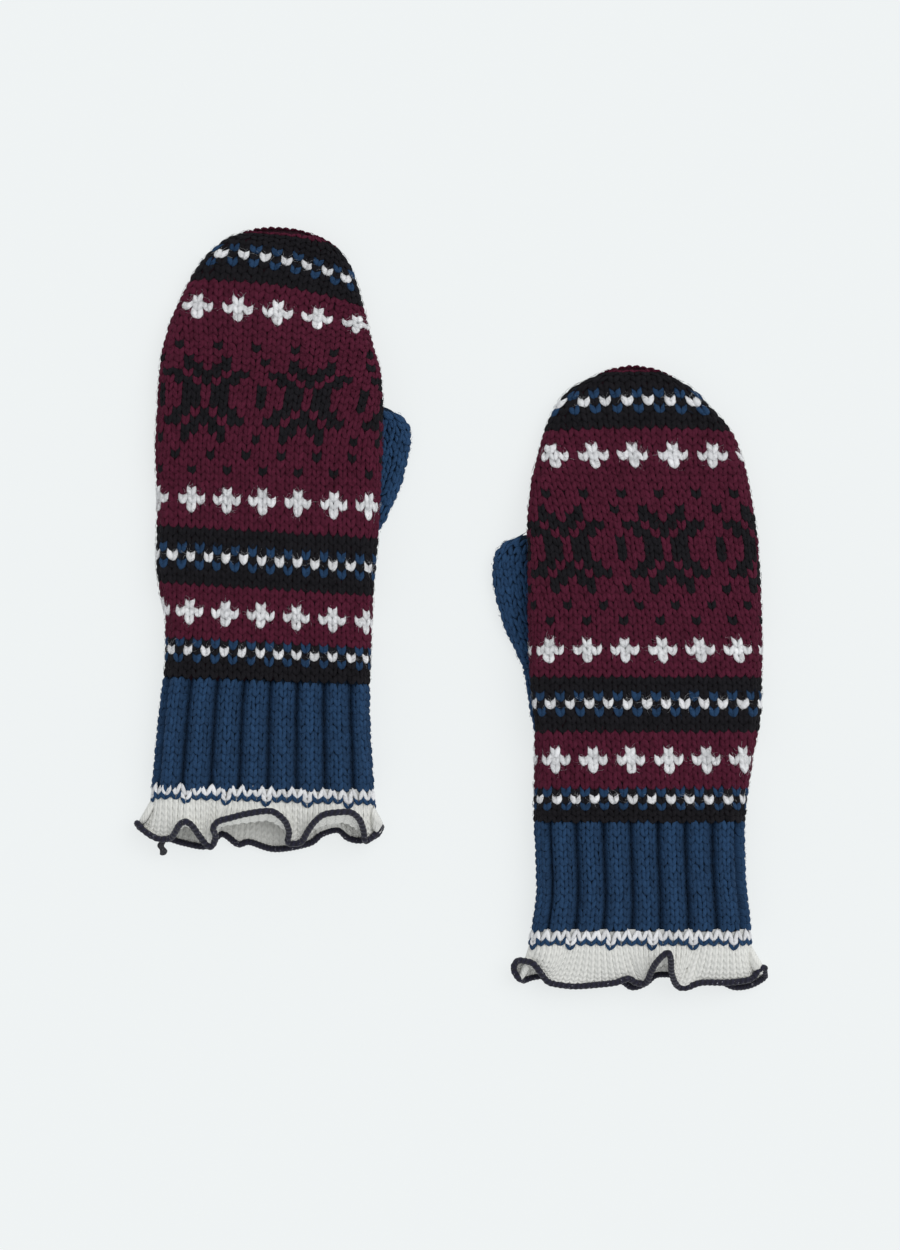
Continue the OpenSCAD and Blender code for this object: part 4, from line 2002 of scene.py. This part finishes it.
@dataclass
class RuffledFrill:
    """The white frill of one mitten with its rolled dark edging.

    A wale is a curve from the band to the edge, and its two handles point one way where its end lies low and
    another where it is drawn up. raised_z is the span of heights over which it goes from one to the other.
    """

    shape: MittenShape
    palette: Palette
    top: float = -50.6
    root_inset: Point = (0.965, 1.0, 0.8)
    root_middle: Point = (0.0, 0.0, 8.0)
    cut_length: float = 20.2
    low_length: float = 0.82
    raised_z: Span = (4.0, 9.0)
    low_handles: tuple[Point, Point] = ((0.0, -0.2, 0.8), (0.0, 0.3, 0.8))
    raised_handles: tuple[Point, Point] = ((0.0, -1.0, 0.1), (0.0, -0.55, -0.8))
    handle_share: float = 0.1
    longest_handle: float = 30.0
    wale_height: float = 0.3
    wale_cells: int = 6
    courses: int = 18
    wall: float = 1.0
    edging_offset: Point = (0.0, -0.35, 0.3)
    edging_up: Point = (0.0, 1.0, 0.12)
    edging_radius: float = 1.42
    wrap_height: float = 0.07
    wrap_cells: int = 7
    section_cells: int = 8
    tail_radius: float = 1.45
    tail_cells: tuple[int, int] = (24, 28)
    tail_ridge: float = 0.15

    def build(self) -> list[bpy.types.Object]:
        """Makes the frill, its edging and the edging's tail.

        Returns:
            The pieces.
        """
        side = self.shape.layout.side.value
        edge = self._edge()
        frill = self._cloth(f"{side}_frill_cloth", edge)
        frill.data.materials.append(self.palette.frill)
        edging = self._edging(f"{side}_frill_edge", edge)
        edging.data.materials.append(self.palette.edging)
        for obj, node, slot in ((frill, "frill", "white_knit"), (edging, "frill_edging", "navy_edging")):
            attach(obj, f"{side}_cuff_body")
            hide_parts(f"{side}_{node}")
        pieces = [frill, edging]
        if self.shape.layout.tail:
            edging_tail = self._tail(f"{side}_frill_tail")
            edging_tail.data.materials.append(self.palette.edging)
            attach(edging_tail, f"{side}_cuff_body")
            pieces.append(edging_tail)
        return pieces

    def _edge(self) -> Route:
        """Joins the edge's top and its underside into one round.

        Returns:
            The edge's place by the fraction of the way round: the top from the -x side, then the underside.
        """
        layout = self.shape.layout
        runs = []
        for points, first, last in (
            (layout.frill_top, layout.frill_under[-1], layout.frill_under[0]),
            (layout.frill_under, layout.frill_top[-1], layout.frill_top[0]),
        ):
            start = (np.array(first) + np.array(points[0])) / 2
            end = (np.array(last) + np.array(points[-1])) / 2
            run = round_spline([start, *points, end], 24)
            far = distances(run)
            runs.append((far / far[-1], run))

        def at(fraction: np.ndarray) -> np.ndarray:
            """Finds places on the edge.

            Args:
                fraction: fractions of the way round.

            Returns:
                The points.
            """
            fraction = fraction % 1.0
            out = np.zeros((*fraction.shape, 3))
            for i, (far, run) in enumerate(runs):
                here = (fraction * 2 >= i) & (fraction * 2 < i + 1)
                out[here] = follow(fraction[here] * 2 - i, far, run)
            return out

        return at

    def _cloth(self, name: str, edge: Route) -> bpy.types.Object:
        """The ruffled cloth: every wale keeps its length and bows out where its end is drawn back.

        Args:
            name: the new object's name.
            edge: the edge's place by the fraction of the way round.

        Returns:
            The new object.
        """
        shape = self.shape
        quarter = float(shape.quarter(np.array(self.top)))
        step = 0.0005

        def skin(around: np.ndarray, along: np.ndarray) -> np.ndarray:
            """A point of the cloth, on the ridge of its wale or in the groove beside it.

            Args:
                around: fractions of the way round.
                along: fractions of the way along.

            Returns:
                The points.
            """
            start = self._root((around * 4 - 1) * quarter)
            end = edge(around)
            first, second = self._bow(start, end)
            t = (1 - along)[:, None]
            at = cubic(start, start + first, end + second, end, t)
            ridge = np.abs(np.cos(math.pi * FRILL_WALES * around)) ** 0.7
            ripple = self.wale_height * (2 * ridge - 1)
            out = np.cross(end - start + 1e-6, edge(around + step) - edge(around - step))
            out /= np.linalg.norm(out, axis=-1, keepdims=True)
            fade = np.minimum(1.0, 5 * (1 - t[:, 0]) + 0.1)
            return at + out * (ripple * fade)[:, None]

        return WovenShell.wrap(name, FRILL_WALES * self.wale_cells, self.courses, skin, shape, self.wall)

    def _root(self, arc: np.ndarray) -> np.ndarray:
        """Where the wales start, tucked under the band.

        Args:
            arc: distances round the band.

        Returns:
            The points, with x, y and z last.
        """
        shift, lean = self.shape.layout.band_tilt
        level = self.top + shift + lean * self.shape.skin(arc, np.full_like(arc, self.top))[..., 0]
        middle = np.array(self.root_middle)
        return middle + (self.shape.skin(arc, level) - middle) * np.array(self.root_inset)

    def _bow(self, start: np.ndarray, end: np.ndarray) -> tuple[np.ndarray, np.ndarray]:
        """How far each wale's handles reach so that its length is the cut length.

        Args:
            start: where each wale starts.
            end: where it ends.

        Returns:
            The handle at its start and the handle at its end, from those points.
        """
        low, high = np.zeros(len(start)), np.full(len(start), self.longest_handle)
        t = np.linspace(0, 1, 17)[:, None, None]
        raised = ramp(end[:, 2:], self.raised_z)
        away, lift = (
            np.array(lying) * (1 - raised) + np.array(drawn) * raised
            for lying, drawn in zip(self.low_handles, self.raised_handles)
        )
        wanted = self.cut_length * (self.low_length + (1 - self.low_length) * raised[:, 0])

        def handles(size: np.ndarray) -> tuple[np.ndarray, np.ndarray]:
            """Both handles at a size."""
            share = (end - start) * self.handle_share
            return away * size[:, None] + share, lift * size[:, None] - share

        for _ in range(18):
            size = (low + high) / 2
            first, second = handles(size)
            at = cubic(start, start + first, end + second, end, t)
            length = np.linalg.norm(np.diff(at, axis=0), axis=-1).sum(axis=0)
            low = np.where(length < wanted, size, low)
            high = np.where(length < wanted, high, size)
        return handles(low)

    def _tail(self, name: str) -> bpy.types.Object:
        """The short end of the edging left hanging where it was fastened off.

        Args:
            name: the new object's name.

        Returns:
            The new object.
        """
        run = round_spline(self.shape.layout.tail, 10)

        def skin(around: np.ndarray, along: np.ndarray) -> np.ndarray:
            """A point of the tail, which is rounded at both ends.

            Args:
                around: fractions of the way round.
                along: fractions of the way along.

            Returns:
                The points.
            """
            at = follow(along * (len(run) - 1), np.arange(len(run)), run)
            turn = around * math.tau
            ends = (1 - (2 * along - 1) ** 6) ** 0.5
            radius = self.tail_radius * ends * (1 + self.tail_ridge * np.cos(6 * turn + 9 * along))
            at[:, 0] += radius * np.cos(turn)
            at[:, 2] += radius * np.sin(turn)
            return at

        return WovenShell.wrap(name, *self.tail_cells, skin, self.shape, 0.0)

    def _edging(self, name: str, edge: Route) -> bpy.types.Object:
        """The rolled edging, wound along the frill's edge.

        Args:
            name: the new object's name.
            edge: the edge's place by the fraction of the way round.

        Returns:
            The new object.
        """
        step = 0.0012

        def skin(around: np.ndarray, along: np.ndarray) -> np.ndarray:
            """A point of the edging, on a turn of its yarn or between two.

            Args:
                around: fractions of the way round.
                along: fractions of the way along.

            Returns:
                The points.
            """
            ahead = edge(around + step) - edge(around - step)
            ahead /= np.linalg.norm(ahead, axis=-1, keepdims=True)
            up = np.cross(ahead, np.array(self.edging_up))
            up /= np.linalg.norm(up, axis=-1, keepdims=True)
            out = np.cross(up, ahead)
            turn = along * math.tau
            wound = 1 + self.wrap_height * np.cos(math.tau * (around * EDGE_WRAPS + along))
            radius = self.edging_radius * wound
            at = edge(around) + np.array(self.edging_offset)
            return at + (np.cos(turn) * radius)[:, None] * out + (np.sin(turn) * radius)[:, None] * up

        around = EDGE_WRAPS * self.wrap_cells
        return WovenShell.wrap(name, around, self.section_cells, skin, self.shape, 0.0)


@dataclass
class Mitten:
    """One mitten with all its parts."""

    layout: Layout
    palette: Palette

    def build(self) -> list[bpy.types.Object]:
        """Builds and dresses every part.

        Returns:
            All the pieces.
        """
        shape = MittenShape(self.layout)
        pieces = []
        for part in (Colourwork, CrownSeam, RibbedCuff, HemBand, KnitThumb, RuffledFrill):
            made = part(shape, self.palette).build()
            for obj in made:
                LOG.info("%s: %d points, %d faces", obj.name, len(obj.data.vertices), len(obj.data.polygons))
            pieces += made
        return pieces


LEFT_LAYOUT = Layout(
    side=Side.LEFT,
    outline_low_x=(
        (-55, -49.2), (-30, -46.8), (-5, -44.3), (10, -42.5), (28, -42.3), (42, -45), (55, -46.4),
        (78, -46), (104, -46.8), (120, -46.1), (140, -44.8), (155, -41.6), (170, -35.4), (184, -27.9),
        (195, -16.6),
    ),
    outline_high_x=(
        (-55, 49.5), (-28, 48), (-5, 47), (30, 48), (76, 51.3), (120, 52.7), (136, 51.8), (150, 48),
        (170, 43), (182, 39.2), (190, 34), (195.5, 26),
    ),
    tip=(200.2, 5.0),
    seam=(-6.0, 34.0),
    rows=(
        (0, 1.4), (9, 30.8), (16, 54.9), (23, 80.6), (29, 100.5), (36, 126.2), (43, 147.5), (48, 163.7),
        (55, 187.8), (59.5, 200),
    ),
    lean=(
        (0, -0.038), (9, -0.062), (16, -0.065), (23, -0.045), (29, -0.031), (43, -0.062), (48, -0.11),
        (55, -0.135),
    ),
    bow=((0, 0.0), (45, 0.0), (55, -0.0033), (60, -0.0033)),
    first_column=((32.5, -0.4), (80.8, 0.3), (94.8, 0.5), (147.5, 6.2), (166, 7.1), (188, 11)),
    column_width=(
        (0, 4.0), (32, 3.9), (101, 3.88), (126, 4.07), (147, 4.23), (164, 4.39), (188, 4.76),
        (200, 4.85),
    ),
    flake_column=4,
    groove_x=2.0,
    block_column_x=1.8,
    thumb_axis=((31, 26), (58, 28), (71, 33), (84, 40), (97, 45), (110, 48), (122.5, 50.5)),
    frill_top=(
        (-54.5, -60, 9), (-50.4, -63.9, 11), (-45, -66.6, 11), (-39.9, -66.1, 13), (-37.7, -63.5, 17),
        (-35.5, -60, 21), (-32.9, -58.7, 22.5), (-30.2, -60.4, 21), (-27.6, -64.4, 17),
        (-24.5, -68.8, 13), (-22, -69.8, 12), (-20.1, -65.7, 15), (-21, -61.8, 19), (-18.8, -58.7, 22),
        (-13, -56.9, 24.5), (-6.5, -55.2, 26), (3.1, -53.9, 26.5), (7.5, -55.6, 25), (10.6, -59.1, 21),
        (11.9, -63.5, 16), (11.5, -68.3, 12), (17, -68, 12), (19.8, -63.5, 16), (22.9, -59.1, 20.5),
        (27.2, -55.6, 24), (33.8, -54.5, 25.5), (39.1, -54.7, 24), (42.6, -57.8, 20), (44.3, -62.6, 15),
        (45, -67.4, 11), (48.7, -65.3, 9), (51.4, -61.3, 8),
    ),
    frill_under=(
        (51.8, -62, 4), (49.6, -65.3, 2.5), (43, -67.6, 1.7), (37.3, -66.5, 2), (33, -63, 3),
        (25.9, -64.8, 2.5), (20, -69, 1.7), (5.3, -71.4, 1.6), (-5.7, -68.3, 2.5), (-10.9, -69.2, 2),
        (-17.9, -64.8, 3), (-24.5, -70.1, 1.6), (-34.2, -68.8, 2), (-42, -66.4, 2.6), (-49.5, -64.4, 3),
        (-53.5, -62, 4),
    ),
    band_tilt=(0.7, -0.03),
    tail=((-43, -67.5, 10), (-44.4, -70, 9), (-43.2, -72.2, 7), (-43.8, -74.5, 5)),
)

RIGHT_LAYOUT = Layout(
    side=Side.RIGHT,
    outline_low_x=(
        (-55, -49.6), (-26, -45.8), (2, -46.8), (41, -46.4), (64, -48.4), (98, -49.4), (130, -49.6),
        (150, -47.8), (163, -44.7), (176, -40.7), (183, -37.2), (190, -31.6), (196, -20.8),
    ),
    outline_high_x=(
        (-55, 48.6), (-42, 47.8), (-24, 45.8), (-5, 45.2), (28, 48.6), (51, 52.6), (80, 53), (117, 51.7),
        (142, 48.6), (157, 45.5), (170, 40.9), (183, 30.4), (190, 23.8), (196, 13.8),
    ),
    tip=(200.6, -3.0),
    seam=(-18.0, 15.0),
    rows=(
        (0, 0.6), (4, 11.8), (9, 29.1), (16, 53.6), (23, 76.9), (29, 96.6), (36, 121.2), (43, 145.3),
        (48, 162), (55, 186.1), (59.5, 201),
    ),
    lean=((0, 0.0), (60, 0.0)),
    bow=((0, 0.0), (45, 0.0), (55, -0.0012), (60, -0.0012)),
    first_column=((29.5, 11.8), (77, 9.2), (90.5, 7.9), (104, 5.7), (139, 0.4), (162, -3.6), (186, -6.2)),
    column_width=(
        (0, 4.19), (29, 4.12), (54, 4.19), (77, 4.12), (97, 3.93), (122, 3.95), (145, 4.11), (162, 4.35),
        (186, 4.71), (201, 4.8),
    ),
    flake_column=2,
    groove_x=-4.0,
    block_column_x=5.2,
    thumb_axis=(
        (31, 26.5), (45, 29.6), (58, 32), (72, 34.2), (84, 39.5), (98, 45), (110, 47.2), (127, 48),
    ),
    frill_top=(
        (-53.5, -66.5, 7), (-55.6, -62.5, 8), (-54, -59, 10), (-50.5, -58.9, 12), (-47, -60, 14),
        (-43.9, -63.9, 13), (-40.8, -67.8, 11), (-36.4, -69.2, 10), (-28.6, -70, 9.5),
        (-17.6, -69.2, 10), (-11, -68.3, 11), (-5.7, -66.5, 12.5), (-2.2, -68.3, 11), (2.1, -68.3, 11),
        (4.3, -63, 17), (6.5, -58.6, 22), (10.7, -54.5, 26.5), (12.4, -57, 25), (13.1, -63.9, 18),
        (15.7, -69.6, 12), (19.7, -70.5, 11), (26.3, -68.3, 12), (37.2, -68.3, 11), (46, -67.4, 10),
        (49.1, -66.1, 9), (51.3, -63, 9), (53.9, -61.9, 8.5),
    ),
    frill_under=(
        (54, -66.5, 4), (48.2, -70, 2), (41.6, -70.9, 1.6), (35.9, -68.7, 2.5), (26.3, -65.7, 3),
        (12.2, -65.2, 3), (6.5, -65.7, 2.5), (2.1, -69.2, 2), (-3.6, -70.9, 1.6), (-8.8, -67.8, 3),
        (-19.8, -64.8, 3), (-30.7, -66.5, 2), (-39.5, -65.7, 2.5), (-47, -66.5, 2.2), (-51, -67.8, 3.5),
    ),
    band_tilt=(-0.9, 0.0),
)


@dataclass
class Studio:
    """The plain pale floor, soft light and overhead camera."""

    distance: float = 2.5
    frame_height: float = 0.548
    look_at: Span = (-0.0007, -0.0066)
    floor_colour: Point = (0.873, 0.902, 0.904)
    floor_glow: float = 0.8
    floor_size: float = 6.0
    floor_drop: float = 0.0004
    surround: Point = (0.95, 0.975, 1.0)
    surround_strength: float = 0.66
    lamp_from: Point = (0.7, 0.5, 1.3)
    lamp_energy: float = 1.25
    lamp_spread: float = 50.0
    sensor: float = 36.0

    def build(self) -> None:
        """Sets up the floor, the lights and the camera."""
        self._floor()
        self._lights()
        self._camera()

    def _floor(self) -> None:
        """A wide floor just under the mittens."""
        bm = bmesh.new()
        bmesh.ops.create_grid(bm, x_segments=2, y_segments=2, size=self.floor_size)
        bmesh.ops.translate(bm, verts=bm.verts, vec=(0.0, 0.0, -self.floor_drop))
        mesh = bpy.data.meshes.new("floor")
        bm.to_mesh(mesh)
        bm.free()
        mesh.materials.append(FloorFinish("studio_floor", self.floor_colour, self.floor_glow).material())
        floor = bpy.data.objects.new("floor", mesh)
        bpy.context.scene.collection.objects.link(floor)

    def _lights(self) -> None:
        """A bright even surround and one broad lamp from the upper right."""
        scene = bpy.context.scene
        world = bpy.data.worlds.new("studio")
        world.use_nodes = True
        background = world.node_tree.nodes["Background"]
        background.inputs["Color"].default_value = rgba(self.surround)
        background.inputs["Strength"].default_value = self.surround_strength
        scene.world = world
        scene.view_settings.view_transform = "Standard"
        data = bpy.data.lights.new("key", "SUN")
        data.angle = math.radians(self.lamp_spread)
        data.energy = self.lamp_energy
        lamp = bpy.data.objects.new("key", data)
        lamp.rotation_euler = (-Vector(self.lamp_from)).to_track_quat("-Z", "Y").to_euler()
        scene.collection.objects.link(lamp)

    def _camera(self) -> None:
        """A long lens looking straight down, so that nothing leans."""
        data = bpy.data.cameras.new("camera")
        data.sensor_width = self.sensor
        data.lens = self.sensor * self.distance / self.frame_height
        camera = bpy.data.objects.new("camera", data)
        camera.location = (*self.look_at, self.distance)
        bpy.context.scene.collection.objects.link(camera)
        bpy.context.scene.camera = camera


def main() -> None:
    """Builds the studio and both mittens."""
    logging.basicConfig(level=logging.INFO, format="%(name)s: %(message)s")
    Studio().build()
    palette = Palette()
    for layout in (LEFT_LAYOUT, RIGHT_LAYOUT):
        Mitten(layout, palette).build()


if __name__ == "__main__":
    main()
